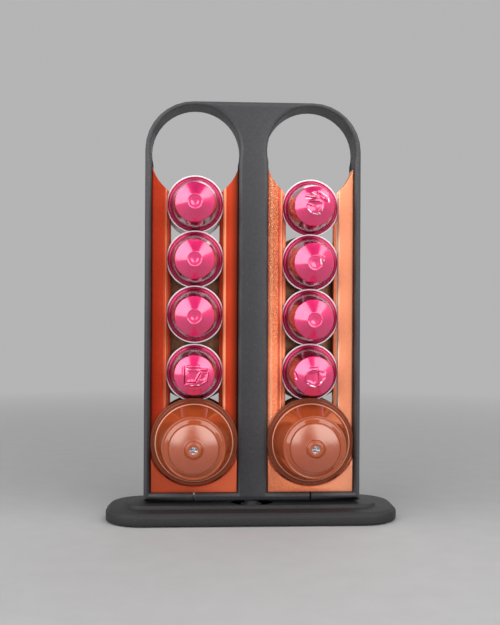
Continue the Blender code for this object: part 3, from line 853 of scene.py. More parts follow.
@dataclass(frozen=True)
class Rubber(Finish):
    """Soft black rubber with a dusty, pitted skin.

    Args:
        pit_depth: How deep its pits are.
    """

    pit_depth: float = 0.06 * MM

    def material(self) -> bpy.types.Material:
        """Makes the material.

        Returns:
            It.
        """
        material, graph, shader = self.start()
        place = graph.place()
        pits = graph.noise(place, 2400.0, 3.0, 0.65)
        bloom = graph.ramp(graph.noise(place, 300.0), 0.35, 0.7, 0.0, 0.6)
        graph.fill(shader, {"Base Color": graph.blend(bloom, self.colour, self.light),
                            "Roughness": self.rough(graph, graph.ramp(pits, 0.3, 0.7), 0.06, -0.08),
                            "Normal": self.bump(graph, pits, self.pit_depth)})
        return material


@dataclass(frozen=True)
class PaleGround(Finish):
    """The studio's plain pale floor, which keeps shadows, and its backdrop, which shows evenly pale.

    Args:
        near: How far from the object the backdrop's even colour starts.
        far: Where it is full.
        gloss: How strongly the floor shines.
    """

    near: float = 0.25
    far: float = 0.9
    gloss: float = 0.2

    def material(self) -> bpy.types.Material:
        """Makes the material.

        Returns:
            It.
        """
        material, graph, shader = self.start()
        place = graph.place()
        paper = graph.blend(graph.noise(place, 60.0, 3.0), self.colour, self.light)
        graph.fill(shader, {"Base Color": paper, "Specular IOR Level": self.gloss})
        rays = graph.add("ShaderNodeLightPath").outputs
        seen = reduce(partial(graph.math, "MAXIMUM"),
                      (rays[f"Is {kind} Ray"] for kind in ("Transmission", "Glossy", "Camera")))
        behind = graph.ramp(graph.vector("LENGTH", place)["Value"], self.near, self.far)
        even = graph.add("ShaderNodeEmission", {"Color": (*self.light, 1.0), "Strength": 1.0}).outputs[0]
        mix = graph.add("ShaderNodeMixShader", {0: graph.times(seen, behind), 1: shader.outputs[0],
                                                2: even})
        graph.fill(material.node_tree.nodes["Material Output"], {"Surface": mix.outputs[0]})
        return material


CHARCOAL = PrintedPlastic(
    "charcoal_print", "charcoal_frame", (0.028, 0.028, 0.031), (0.12, 0.12, 0.13), 0.46,
    layer_axis=LayerAxis.DEEP, round_radius=2.4 * MM, highlight_paint=0.3, bore_shade=0.75)
# Darker than the frame's print; part of this darkness is painted shade against the stronger light that
# reaches the base
CHARCOAL_BASE = PrintedPlastic(
    "charcoal_base_print", "charcoal_base", (0.013, 0.012, 0.014), (0.07, 0.07, 0.075), 0.62,
    layer_share=1.1, dust=Dust(2.2 * MM, 0.55, 0.55, (0.55, 0.53, 0.5)), highlight_paint=0.0,
    pocket=Pocket(6.8 * MM, 14.6 * MM))
SILK = dict(slot="copper_silk", layer_axis=LayerAxis.DEEP, grain_depth=0.035 * MM, wear=0.35,
            highlight_paint_reach=(16.5 * MM, 20.0 * MM))
# Its bands are painted highlights on the rails' edges, painted shade towards the web, and painted light on
# its foot
COPPER_SILK = PrintedPlastic(
    "copper_silk_print", colour=(0.36, 0.017, 0.004), light=(0.92, 0.30, 0.14), roughness=0.40,
    metallic=0.25, contrast=0.14, highlight_paint=0.6, tint=(1.0, 0.5, 0.25), painted_light_bands=(
        PaintedLightBand(-56.2 * MM, -54.2 * MM, 0.45, (0.75, 0.20, 0.10)),
        PaintedLightBand(-17.9 * MM, -8.0 * MM, 1.0, (0.54, 0.036, 0.010)),
        PaintedLightBand(-14.4 * MM, -8.0 * MM, 0.9, (0.07, 0.008, 0.003), 4.2 * MM),
        PaintedLightBand(-19.4 * MM, -17.2 * MM, 0.9, (1.0, 0.38, 0.20)),
        PaintedLightBand(-66.0 * MM, -8.0 * MM, 0.35, (0.70, 0.16, 0.07), foot=True),
        PaintedLightBand(-40.0 * MM, -8.0 * MM, 0.6, (1.0, 0.20, 0.09), 28 * MM, True)), **SILK)
# The right insert's print: its coarse grain is its own, while its much lighter colour is painted light and
# its bands are painted highlights and painted shade
ROUGH_SILK_PAINTED_LIGHT = PrintedPlastic(
    "copper_silk_print_rough_painted_light", colour=(0.93, 0.262, 0.121), light=(1.0, 0.62, 0.42), roughness=0.36,
    metallic=0.45, contrast=0.22, ior=1.6, highlight_paint=0.15, tint=(1.0, 0.7, 0.5), bump_depth=0.45 * MM,
    pimples=Pimples(9.6 * MM, 16.6 * MM, 100 * MM, 170 * MM, 0.3), painted_light_bands=(
        PaintedLightBand(11.0 * MM, 12.9 * MM, 0.6, (1.0, 0.48, 0.27)),
        PaintedLightBand(16.0 * MM, 17.9 * MM, 0.85, (0.42, 0.035, 0.010)),
        PaintedLightBand(54.2 * MM, 55.9 * MM, 0.9, (1.0, 0.80, 0.56)),
        PaintedLightBand(55.6 * MM, 66.0 * MM, 0.6, (1.0, 0.40, 0.22)),
        PaintedLightBand(8.0 * MM, 20.0 * MM, 0.4, (0.70, 0.20, 0.10), foot=True),
        PaintedLightBand(34.0 * MM, 66.0 * MM, 0.8, (1.0, 0.40, 0.23), 24 * MM, True)), **SILK)
# Its wall and flange are darkened as painted shade
MAGENTA = LacqueredMetal(
    "magenta_lacquered_aluminium", "magenta_lacquer", (0.82, 0.005, 0.150), (0.88, 0.012, 0.19), 0.34,
    metallic=0.55, coat_ior=1.92, painted_shade_wall_share=0.52)
BARE_RIM = LacqueredMetal(
    "bare_aluminium_rim", "magenta_lacquer", (0.88, 0.89, 0.91), (0.96, 0.96, 0.97), 0.36,
    metallic=0.2, coat=0.0)
# Painted shade in the dents' dark folds
FOLD_SHADE = LacqueredMetal(
    "magenta_fold_painted_shade", "magenta_lacquer", (0.36, 0.001, 0.055), (0.42, 0.003, 0.07), 0.4,
    metallic=0.8, coat_ior=1.35)
TERRACOTTA = MouldedPlastic(
    "terracotta_moulding", "terracotta_plastic", (0.36, 0.062, 0.016), (0.41, 0.082, 0.024), 0.10)
TEXTURED_DOME = MouldedPlastic(
    "terracotta_textured_dome", "terracotta_plastic", (0.345, 0.042, 0.003), (0.39, 0.058, 0.008), 0.25,
    ior=2.3, texture=1.0)
# Painted highlight on the large cup's bead
BEAD_PAINTED_HIGHLIGHT = MouldedPlastic(
    "terracotta_bead_painted_highlight", "terracotta_plastic", (0.80, 0.36, 0.24), (0.86, 0.44, 0.31), 0.12,
    ior=1.65)
# Painted shade on the large cup's flange
SHADED_FLANGE = MouldedPlastic(
    "terracotta_flange_painted_shade", "terracotta_plastic", (0.22, 0.036, 0.009), (0.27, 0.052, 0.015), 0.12, ior=1.5)
NOZZLE_FOIL = Foil("nozzle_foil", "silver_foil", (0.22, 0.21, 0.25), (0.62, 0.61, 0.66), 0.22, 0.95)
SILVER_FOIL = Foil("silver_lid_foil", "silver_foil", (0.80, 0.80, 0.82), (0.95, 0.95, 0.96), 0.40, 0.6)
# Painted light on the small lids' sealed border: near white and mostly matt
SEAL_FOIL_PAINTED_LIGHT = Foil("silver_lid_border_painted_light", "silver_foil", (0.93, 0.93, 0.94), (0.98, 0.98, 0.98), 0.45, 0.1)
BRONZE_FOIL = Foil("bronze_lid_foil", "bronze_foil", (0.20, 0.085, 0.045), (0.32, 0.15, 0.085), 0.34, 0.9)
ZINC = MachinedMetal("zinc_plated_steel", "zinc_steel", (0.52, 0.53, 0.55), (0.8, 0.8, 0.82), 0.30, 1.0)
BRASS = MachinedMetal("turned_brass", "brass", (0.70, 0.47, 0.18), (0.9, 0.72, 0.4), 0.28, 1.0)
BLACK_RUBBER = Rubber("black_rubber", "rubber", (0.016, 0.016, 0.017), (0.05, 0.05, 0.05), 0.8)
GROUND = PaleGround("pale_ground", "", (0.41, 0.41, 0.41), (0.46, 0.46, 0.46), 0.8)


class FinishShelf:
    """Keeps each finish's material, so that it is made once."""

    def __init__(self) -> None:
        """Starts with an empty shelf."""
        self.materials: dict[str, bpy.types.Material] = {}

    def take(self, finish: Finish) -> bpy.types.Material:
        """Finds a finish's material, and makes it the first time.

        Args:
            finish: The finish.

        Returns:
            Its material.
        """
        if finish.name not in self.materials:
            self.materials[finish.name] = finish.material()
        return self.materials[finish.name]


def put(name: str, data: bpy.types.ID, matrix: Matrix) -> bpy.types.Object:
    """Adds an object to the scene.

    Args:
        name: Its name.
        data: Its mesh, lamp or camera.
        matrix: Where it stands.

    Returns:
        The object.
    """
    made = bpy.data.objects.new(name, data)
    bpy.context.scene.collection.objects.link(made)
    made.matrix_world = matrix
    return made


def modify(node: bpy.types.Object, name: str, kind: str, **settings: object) -> None:
    """Adds a modifier to an object.

    Args:
        node: The object.
        name: The modifier's name.
        kind: Its type name.
        settings: Its settings, in the order in which they are made.
    """
    modifier = node.modifiers.new(name, kind)
    for setting, value in settings.items():
        setattr(modifier, setting, value)


@dataclass(frozen=True)
class SoftEdges:
    """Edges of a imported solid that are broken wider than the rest.

    Args:
        width: How wide they are broken.
        depth: How far from the middle plane, front and back, their corners lie.
        reach: How far their corners lie from the nearest column's middle, or zero for any distance.
        keep_off: Corners nearer to a column's middle than this stay sharp.
        slack: How far a corner may be from its place.
    """

    width: float
    depth: float
    reach: float = 0.0
    keep_off: float = 0.0
    slack: float = 0.05 * MM

    def corners(self, points: np.ndarray) -> list[int]:
        """Finds the corners that belong to these edges.

        Args:
            points: The solid's points, as rows.

        Returns:
            Their numbers.
        """
        away = np.min([np.abs(points[:, 0] - middle) for middle in COLUMNS], axis=0)
        found = (np.abs(np.abs(points[:, 1]) - self.depth) < self.slack) & (away >= self.keep_off)
        if self.reach:
            found &= np.abs(away - self.reach) < self.slack
        return np.flatnonzero(found).tolist()


@dataclass
class EdgeBreaker:
    """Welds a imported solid's faces for shading and breaks its sharp edges, with modifiers only.

    Args:
        limit: The angle from which an edge is sharp.
        flat: The angle up to which neighbouring faces are joined.
        weld: How close to each other points are when they become one.
        group: The geometry nodes that shade smooth, once they are made.
    """

    limit: float = 32.0
    flat: float = 0.6
    weld: float = 0.002 * MM
    group: bpy.types.NodeTree | None = None

    def smoothing(self) -> bpy.types.NodeTree:
        """Makes the geometry nodes that shade smooth below the limit angle, the first time.

        Returns:
            Their group.
        """
        if self.group is None:
            self.group = bpy.data.node_groups.new("smooth_below_limit", "GeometryNodeTree")
            for way in ("INPUT", "OUTPUT"):
                self.group.interface.new_socket("Geometry", in_out=way, socket_type="NodeSocketGeometry")
            graph = Graph(self.group)
            given = graph.add("NodeGroupInput").outputs[0]
            faces = graph.add("GeometryNodeSetShadeSmooth", {"Geometry": given, "Shade Smooth": True},
                              domain="FACE").outputs[0]
            angle = graph.add("GeometryNodeInputMeshEdgeAngle").outputs[0]
            shallow = graph.add("FunctionNodeCompare", {0: angle, 1: math.radians(self.limit)},
                                data_type="FLOAT", operation="LESS_THAN").outputs[0]
            edges = graph.add("GeometryNodeSetShadeSmooth", {"Geometry": faces, "Shade Smooth": shallow},
                              domain="EDGE").outputs[0]
            graph.add("NodeGroupOutput", {0: edges})
        return self.group

    def soften(self, node: bpy.types.Object, edges: SoftEdges) -> None:
        """Adds the modifier that breaks some edges wider.

        Args:
            node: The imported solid.
            edges: Its wide edges.
        """
        group = node.vertex_groups.new(name="wide_edges")
        group.add(edges.corners(np.array([v.co for v in node.data.vertices])), 1.0, "REPLACE")
        modify(node, "wide_edges", "BEVEL", width=edges.width, segments=3, limit_method="VGROUP",
               vertex_group=group.name)

    def apply(self, node: bpy.types.Object, width: float, edges: SoftEdges | None = None) -> None:
        """Adds the modifiers.

        Args:
            node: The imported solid.
            width: How wide its edges are broken.
            edges: Edges that are broken wider, if it has them.
        """
        if "custom_normal" in node.data.attributes:
            node.data.attributes.remove(node.data.attributes["custom_normal"])
        node.data.shade_smooth()
        modify(node, "weld", "WELD", merge_threshold=self.weld)
        modify(node, "join_flat_faces", "DECIMATE", decimate_type="DISSOLVE",
               angle_limit=math.radians(self.flat))
        if edges is not None:
            self.soften(node, edges)
        modify(node, "broken_edges", "BEVEL", width=width, segments=2, limit_method="ANGLE",
               angle_limit=math.radians(self.limit))
        modify(node, "shading", "NODES", node_group=self.smoothing())


@dataclass
class DressedSolids:
    """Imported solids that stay, each with its finish and the width of its broken edges.

    Args:
        shelf: Where finishes come from.
        breaker: What breaks the edges.
        title: What the solids make up.
        plan: Each solid's finish and edge width, by node name.
        wide: The wider edges of some solids, by node name.
    """

    shelf: FinishShelf
    breaker: EdgeBreaker
    title: str
    plan: dict[str, tuple[Finish, float]]
    wide: dict[str, SoftEdges] = field(default_factory=dict)

    def build(self) -> list[bpy.types.Object]:
        """Dresses every solid of the plan.

        Returns:
            The solids.
        """
        dressed = []
        for name, (finish, width) in self.plan.items():
            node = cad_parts[name]
            node.material_slots[0].material = self.shelf.take(finish)
            self.breaker.apply(node, width, self.wide.get(name))
            LOG.info("%s: %s in %s", self.title, name, finish.name)
            dressed.append(node)
        return dressed


@dataclass(frozen=True)
class Corner:
    """A corner of a turned section.

    Args:
        radius: How far it is from the axis.
        height: How far it is in front of the lid's back.
        soft: The length of each run that its rounding takes.
        finish: The number of the finish on the run that starts here.
        step: The longest part that the run is divided into, or zero for the section's own.
    """

    radius: float
    height: float
    soft: float = 0.0
    finish: int = 0
    step: float = 0.0


@dataclass(frozen=True)
class Lathe:
    """Turns sections into closed meshes.

    Args:
        round_steps: How many runs a corner's rounding has.
    """

    round_steps: int = 4

    def section(self, corners: Sequence[Corner], step: float, fine_step: float = math.inf,
                fine_from: float = math.inf) -> list[tuple[float, float, int]]:
        """Rounds a section's corners and divides its long runs.

        Args:
            corners: The section, from the middle of its front to the middle of its inside.
            step: The longest run that is left.
            fine_step: The longest run that is left farther in front.
            fine_from: The height from which runs are that short.

        Returns:
            Points of a radius, a height and the finish of the run after them.
        """
        points: list[tuple[float, float, int, float]] = []
        for number, corner in enumerate(corners):
            here = Vector((corner.radius, corner.height))
            if corner.soft <= 0 or number in (0, len(corners) - 1):
                points.append((here.x, here.y, corner.finish, corner.step))
                continue
            before, after = corners[number - 1], corners[number + 1]
            start = Vector((before.radius, before.height)) - here
            end = Vector((after.radius, after.height)) - here
            a = here + start.normalized() * min(corner.soft, start.length / 2)
            b = here + end.normalized() * min(corner.soft, end.length / 2)
            for i in range(self.round_steps + 1):
                t = i / self.round_steps
                p = a * (1 - t) ** 2 + here * 2 * t * (1 - t) + b * t ** 2
                points.append((p.x, p.y, corner.finish if t >= 0.5 else before.finish, corner.step))
        divided: list[tuple[float, float, int]] = []
        for (r0, z0, f0, own), (r1, z1, _, _) in zip(points, points[1:]):
            longest = fine_step if min(z0, z1) > fine_from else own or step
            parts = max(1, math.ceil(math.hypot(r1 - r0, z1 - z0) / longest))
            divided += [(r0 + (r1 - r0) * i / parts, z0 + (z1 - z0) * i / parts, f0)
                        for i in range(parts)]
        return divided + [points[-1][:3]]

    def turn(self, name: str, points: Sequence[tuple[float, float, int]], segments: int,
             shape: Shape) -> bpy.types.Mesh:
        """Turns a section round Z.

        Args:
            name: The mesh's name.
            points: The section, which starts and ends on the axis.
            segments: How many facets it has round its axis.
            shape: Moves the turned points, as arrays of X, Y and Z, and returns them as rows.

        Returns:
            The mesh.
        """
        inner = [(r, z) for r, z, _ in points[1:-1]]
        angle = np.linspace(0, 2 * math.pi, segments, endpoint=False) + math.pi / 2
        radius = np.array([r for r, _ in inner])[:, None]
        x = np.append((radius * np.cos(angle)).ravel(), (0, 0))
        y = np.append((radius * np.sin(angle)).ravel(), (0, 0))
        z = np.append(np.repeat([h for _, h in inner], segments), (points[0][1], points[-1][1]))
        verts = shape(x, y, z)
        first, last, end = len(verts) - 2, len(verts) - 1, (len(inner) - 1) * segments
        faces, finishes = [], []
        for s in range(segments):
            t = (s + 1) % segments
            faces.append((first, s, t))
            for ring in range(len(inner) - 1):
                low, high = ring * segments, (ring + 1) * segments
                faces.append((low + s, high + s, high + t, low + t))
            faces.append((end + s, last, end + t))
            finishes += [finish for _, _, finish in points[:-1]]
        mesh = bpy.data.meshes.new(name)
        mesh.from_pydata(verts.tolist(), [], faces)
        mesh.polygons.foreach_set("material_index", finishes)
        mesh.shade_smooth()
        mesh.update()
        return mesh


@dataclass(frozen=True)
class FacetDent:
    """A dent of flat facets that meet in creases, as thin metal folds.

    Args:
        outline: A convex outline in millimetres, right and up from the axis, anticlockwise.
        slopes: How steeply the metal falls from each side, in turn, and again from the first.
        depth: The deepest that it goes, in millimetres.
    """

    outline: tuple[tuple[float, float], ...]
    slopes: tuple[float, ...]
    depth: float

    def fall(self, x: np.ndarray, y: np.ndarray) -> np.ndarray:
        """Works out how far points fall, in millimetres.

        Args:
            x: How far right of the axis they lie.
            y: How far above it they lie.

        Returns:
            How far each falls.
        """
        low = np.full_like(x, np.inf)
        for i, (ax, ay) in enumerate(self.outline):
            bx, by = self.outline[(i + 1) % len(self.outline)]
            length = math.hypot(bx - ax, by - ay)
            inside = ((bx - ax) * (y - ay) - (by - ay) * (x - ax)) / length
            low = np.minimum(low, inside * self.slopes[i % len(self.slopes)])
        return np.clip(low, 0, self.depth)


@dataclass(frozen=True)
class Stroke:
    """A straight mark on a cup's nose.

    Args:
        start: One end, in millimetres, right and up from the axis.
        end: The other end.
        width: How far it reaches to each side, in millimetres.
    """

    start: tuple[float, float]
    end: tuple[float, float]
    width: float

    def measure(self, x: np.ndarray, y: np.ndarray) -> tuple[np.ndarray, np.ndarray]:
        """Measures where points lie beside the mark, in millimetres.

        Args:
            x: How far right of the axis they lie.
            y: How far above it they lie.

        Returns:
            The share of the mark that lies before each, and how far each is from it.
        """
        (ax, ay), (bx, by) = self.start, self.end
        square = (bx - ax) ** 2 + (by - ay) ** 2
        t = np.clip(((x - ax) * (bx - ax) + (y - ay) * (by - ay)) / square, 0, 1)
        return t, np.hypot(x - ax - t * (bx - ax), y - ay - t * (by - ay))


@dataclass(frozen=True)
class Crease(Stroke):
    """A straight ridge or groove.

    Args:
        depth: How deep its middle is in millimetres, or below zero how high.
    """

    depth: float

    def fall(self, x: np.ndarray, y: np.ndarray) -> np.ndarray:
        """Returns how far points at x and y fall, in millimetres."""
        return self.depth * np.clip(1 - self.measure(x, y)[1] / self.width, 0, 1) ** 1.3


@dataclass(frozen=True)
class PaintedLightMark(Stroke):
    """A short mark, narrower at its ends, painted on a fold: a painted glint of bare metal, or the painted
    shade of a dark fold.

    Args:
        finish: The number of the cup's finish that shows there: 1 is bare metal as a painted glint, 2 is a
            dark fold's painted shade.
    """

    finish: int = 1

    def covers(self, x: np.ndarray, y: np.ndarray) -> np.ndarray:
        """Returns whether points at x and y lie on the mark."""
        t, away = self.measure(x, y)
        return away < self.width * np.sqrt(np.clip(4 * t * (1 - t), 0.05, 1))


DentsAndPaintedLight = tuple[FacetDent | Crease | PaintedLightMark, ...]


@dataclass
class SmallCupWare:
    """The small cup: drawn aluminium with a curled bare rim and a dimpled recess in its nose.

    Args:
        rim_radius: The outer radius of its rim.
        lid_radius: The radius of its lid.
        curl_radius: The radius of the rim's curl.
        curl_height: How far in front of the lid's back the curl's middle lies.
        seal_radius: The radius where its flange starts.
        root_radius: The radius of its wall at the flange.
        shoulder_radius: The radius of its wall at the nose's edge.
        shoulder_height: How far in front of the lid's back that edge lies.
        nose_radius: The radius of the recess.
        nose_height: How far in front of the lid's back the nose ends.
        wall: How far the inside lies behind the outside.
        wobble: How high the waves of its thin metal are.
        wobble_from: The height from which the wall is wavy.
        wobble_run: How much farther in front the waves are full.
        wobble_pitch: How fast the waves turn with the height, in radians per metre.
        dent_from: How far behind the nose's edge dents start.
        dent_run: How much farther in front they are full.
        finishes: Its lacquer, bare metal for its rim and painted glints, and the painted shade of dark
            folds.
    """

    rim_radius: float = 18.5 * MM
    lid_radius: float = 17.6 * MM
    curl_radius: float = 0.45 * MM
    curl_height: float = 0.80 * MM
    seal_radius: float = 16.05 * MM
    root_radius: float = 15.8 * MM
    shoulder_radius: float = 12.4 * MM
    shoulder_height: float = 22.15 * MM
    nose_radius: float = 4.6 * MM
    nose_height: float = 28.35 * MM
    wall: float = 0.4 * MM
    wobble: float = 0.035 * MM
    wobble_from: float = 2.5 * MM
    wobble_run: float = 4 * MM
    wobble_pitch: float = 260.0
    dent_from: float = 1.2 * MM
    dent_run: float = 1.0 * MM
    finishes: tuple[Finish, ...] = (MAGENTA, BARE_RIM, FOLD_SHADE)

    def front(self, nose: Nose) -> list[Corner]:
        """Draws the nose's section.

        Args:
            nose: The nose's state.

        Returns:
            Its corners, from the middle outwards.
        """
        top = self.nose_height
        if nose is Nose.CRUSHED:
            return [Corner(0, top - 0.3 * MM), Corner(self.nose_radius, top - 0.3 * MM, 1.2 * MM)]
        return [Corner(0, top - 0.72 * MM), Corner(1.2 * MM, top - 0.66 * MM, 0.5 * MM),
                Corner(2.4 * MM, top - 0.28 * MM, 0.5 * MM),
                Corner(3.95 * MM, top - 0.24 * MM, 0.2 * MM),
                Corner(4.3 * MM, top - 0.02 * MM, 0.2 * MM),
                Corner(self.nose_radius + 0.1 * MM, top, 0.2 * MM)]

    def corners(self, nose: Nose) -> list[Corner]:
        """Draws the cup's section.

        Args:
            nose: The state of its nose.

        Returns:
            Its corners, from the middle of the nose to the middle of its inside.
        """
        slope = (self.root_radius - self.shoulder_radius) / (self.shoulder_height - 2.3 * MM)
        body = [Corner(self.shoulder_radius, self.shoulder_height, 0.45 * MM),
                Corner(self.shoulder_radius + slope * 8 * MM, self.shoulder_height - 8 * MM, 2 * MM),
                Corner(self.root_radius, 2.2 * MM, 0.2 * MM),
                Corner(self.seal_radius, 2.05 * MM, 0.12 * MM),
                Corner(self.seal_radius, 1.3 * MM, 0.12 * MM),
                Corner(self.seal_radius + 0.3 * MM, 1.2 * MM, 0.1 * MM),
                Corner(self.seal_radius + 0.5 * MM, 1.1 * MM, 0.1 * MM),
                Corner(16.95 * MM, 1.1 * MM, 0.08 * MM), Corner(17.18 * MM, 1.32 * MM, 0.15 * MM),
                Corner(17.4 * MM, 1.1 * MM, 0.08 * MM), Corner(17.6 * MM, 1.1 * MM, 0.08 * MM)]
        curl = [Corner(self.rim_radius - self.curl_radius * (1 - math.cos(a)),
                       self.curl_height + self.curl_radius * math.sin(a), 0.0, 1)
                for a in (math.radians(150 - 30 * i) for i in range(11))]
        inside = [Corner(15.2 * MM, 0.55 * MM, 0.1 * MM, 1),
                  Corner(self.shoulder_radius - self.wall, self.shoulder_height - self.wall, 0, 1),
                  Corner(self.nose_radius - self.wall, self.nose_height - 1.7 * MM, 0, 1),
                  Corner(0, self.nose_height - 1.8 * MM, 0, 1)]
        return self.front(nose) + body + curl + inside

    def paint_glints_and_fold_shade(self, mesh: bpy.types.Mesh, dents_and_painted_light: DentsAndPaintedLight, lean: float) -> None:
        """Gives the faces under a cup's painted marks their finishes: bare metal as painted glints, dark as
        painted shade.

        Args:
            mesh: The turned cup.
            dents_and_painted_light: Its dents, creases and painted marks.
            lean: See shape.
        """
        centres = np.array([f.center for f in mesh.polygons]) / MM
        ahead = centres[:, 2] - self.shoulder_height / MM
        u, v = centres[:, 0] - lean * ahead, centres[:, 1]
        numbers = np.zeros(len(centres), dtype=np.int32)
        mesh.polygons.foreach_get("material_index", numbers)
        # Painted glints and painted fold shade
        for mark in dents_and_painted_light:
            if isinstance(mark, PaintedLightMark):
                numbers[mark.covers(u, v) & (ahead > 0)] = mark.finish
        mesh.polygons.foreach_set("material_index", numbers)

    def shape(self, seed: int, dents_and_painted_light: DentsAndPaintedLight, lean: float) -> Shape:
        """Prepares the dents of a cup and the slight waviness of its thin metal.

        Args:
            seed: Chooses the waviness.
            dents_and_painted_light: Its dents and creases; its painted marks are skipped.
            lean: How far they move sideways for each millimetre in front of the shoulder.

        Returns:
            The function that moves its turned points.
        """
        random = np.random.default_rng(seed)
        phases = random.uniform(0, 2 * math.pi, 4)

        def bend(x: np.ndarray, y: np.ndarray, z: np.ndarray) -> np.ndarray:
            """Moves the turned points.

            Args:
                x: How far right of the axis they lie.
                y: How far above it they lie.
                z: How far in front of the lid's back they lie.

            Returns:
                The moved points, as rows.
            """
            out, angle = np.hypot(x, y), np.arctan2(y, x)
            free = np.clip((z - self.wobble_from) / self.wobble_run, 0, 1)
            wave = sum(np.sin(n * angle + z * self.wobble_pitch + phase)
                       for n, phase in zip((2, 3, 5, 8), phases))
            share = 1 + self.wobble * wave * free / np.maximum(out, 3 * MM)
            front = np.clip((z - (self.shoulder_height - self.dent_from)) / self.dent_run, 0, 1)
            ahead = (z - self.shoulder_height) / MM
            u, v = x / MM - lean * ahead, y / MM
            fall = sum((d.fall(u, v) for d in dents_and_painted_light if not isinstance(d, PaintedLightMark)), np.zeros_like(x))
            return np.column_stack((x * share, y * share, z - fall * front * MM))

        return bend


@dataclass
class LargeCupWare:
    """The large cup: a plastic moulding with a bead, a ridged shoulder, a dome and a nozzle.

    Args:
        rim_radius: The outer radius of its flange.
        lid_radius: The radius of its lid.
        root_radius: The radius of its wall at the flange.
        bead_radius: The radius of the bead in front of the flange.
        shoulder_radius: The radius of its wall at the shoulder.
        dome_radius: The radius of the dome.
        nozzle_radius: The radius of the nozzle's foot.
        bore_radius: The radius of the nozzle's bore.
        shoulder_height: How far in front of the lid's back the shoulder lies.
        dome_height: How far in front of it the dome's edge lies.
        crown_height: How far in front of it the dome's middle lies.
        tip_height: How far in front of it the nozzle ends.
        fold_depth: How high the folds of the foil in the nozzle are.
        finishes: Its plastic, the foil, the bead's painted highlight, the flange's painted shade and the
            textured dome.
    """

    rim_radius: float = 28.0 * MM
    lid_radius: float = 27.0 * MM
    root_radius: float = 24.2 * MM
    bead_radius: float = 24.8 * MM
    shoulder_radius: float = 19.7 * MM
    dome_radius: float = 15.0 * MM
    nozzle_radius: float = 5.3 * MM
    bore_radius: float = 2.4 * MM
    shoulder_height: float = 23.25 * MM
    dome_height: float = 26.85 * MM
    crown_height: float = 29.95 * MM
    tip_height: float = 31.55 * MM
    fold_depth: float = 1.3 * MM
    finishes: tuple[Finish, ...] = (TERRACOTTA, NOZZLE_FOIL, BEAD_PAINTED_HIGHLIGHT, SHADED_FLANGE, TEXTURED_DOME)

    def nozzle(self) -> list[Corner]:
        """Draws the nozzle's section.

        Returns:
            Its corners, from the middle of the foil in its bore to the dome.
        """
        tip, crown, foot = self.tip_height, self.crown_height, self.nozzle_radius
        foil = [Corner(r * MM, crown - 0.3 * MM, 0, 1) for r in (0.35, 0.7, 1.05, 1.4, 1.75, 2.05)]
        return [Corner(0, crown - 0.35 * MM, 0, 1), *foil,
                Corner(self.bore_radius - 0.1 * MM, crown - 0.1 * MM, 0, 1),
                Corner(self.bore_radius, crown - 0.1 * MM),
                Corner(self.bore_radius, tip - 0.15 * MM, 0.25 * MM),
                Corner(3.1 * MM, tip, 0.5 * MM), Corner(4.4 * MM, tip, 0.9 * MM),
                Corner(4.95 * MM, crown + 0.35 * MM, 0.3 * MM), Corner(foot, crown + 0.2 * MM, 0.15 * MM),
                Corner(foot + 0.1 * MM, crown - 0.35 * MM, 0.1 * MM),
                Corner(foot + 0.4 * MM, crown - 0.35 * MM, 0.1 * MM),
                Corner(foot + 0.65 * MM, crown + 0.02 * MM, 0.15 * MM, 4)]

    def dome(self) -> list[Corner]:
        """Draws the dome's curve.

        Returns:
            Its corners, from the nozzle's foot to its edge.
        """
        run = self.dome_radius - self.nozzle_radius
        fall = self.crown_height - self.dome_height
        return [Corner(self.nozzle_radius + run * s,
                       self.crown_height - fall * (0.44 * s + 0.56 * s * s), 0.4 * MM, 4)
                for s in (0.12, 0.2, 0.35, 0.5, 0.65, 0.8, 0.92)]

    def corners(self) -> list[Corner]:
        """Draws the cup's section.

        Returns:
            Its corners, from the foil in the nozzle to the middle of its inside.
        """
        edge = [Corner(self.dome_radius, self.dome_height, 0.3 * MM),
                Corner(15.1 * MM, 25.8 * MM, 0.1 * MM), Corner(15.5 * MM, 25.75 * MM, 0.15 * MM),
                Corner(15.8 * MM, 26.0 * MM, 0.15 * MM), Corner(17.7 * MM, 24.3 * MM, 0.5 * MM),
                Corner(18.3 * MM, 24.0 * MM, 0.35 * MM), Corner(18.75 * MM, 24.25 * MM, 0.35 * MM),
                Corner(19.3 * MM, 24.15 * MM, 0.4 * MM),
                Corner(self.shoulder_radius, self.shoulder_height, 0.6 * MM)]
        # Finish 2 paints a highlight on the bead, finish 3 paints shade on the flange
        foot = [Corner(self.root_radius, 5.3 * MM, 0.3 * MM, 2),
                Corner(self.bead_radius - 0.1 * MM, 4.75 * MM, 0.1 * MM, 2),
                Corner(self.bead_radius, 4.45 * MM, 0.15 * MM),
                Corner(self.bead_radius, 3.85 * MM, 0.35 * MM),
                Corner(self.root_radius, 3.25 * MM, 0.4 * MM),
                Corner(self.root_radius, 1.25 * MM, 0.5 * MM, 3), Corner(26.0 * MM, 1.25 * MM, 0.12 * MM, 3),
                Corner(26.3 * MM, 0.95 * MM, 0.12 * MM, 3), Corner(27.75 * MM, 1.05 * MM, 0.2 * MM, 3),
                Corner(self.rim_radius, 0.75 * MM, 0.2 * MM), Corner(27.85 * MM, 0.45 * MM, 0.1 * MM)]
        inside = [Corner(23.5 * MM, 0.45 * MM, 0.1 * MM), Corner(19.0 * MM, 22.5 * MM),
                  Corner(14.3 * MM, 25.3 * MM), Corner(self.nozzle_radius, 28.4 * MM),
                  Corner(0, 28.9 * MM)]
        return self.nozzle() + self.dome() + edge + foot + inside

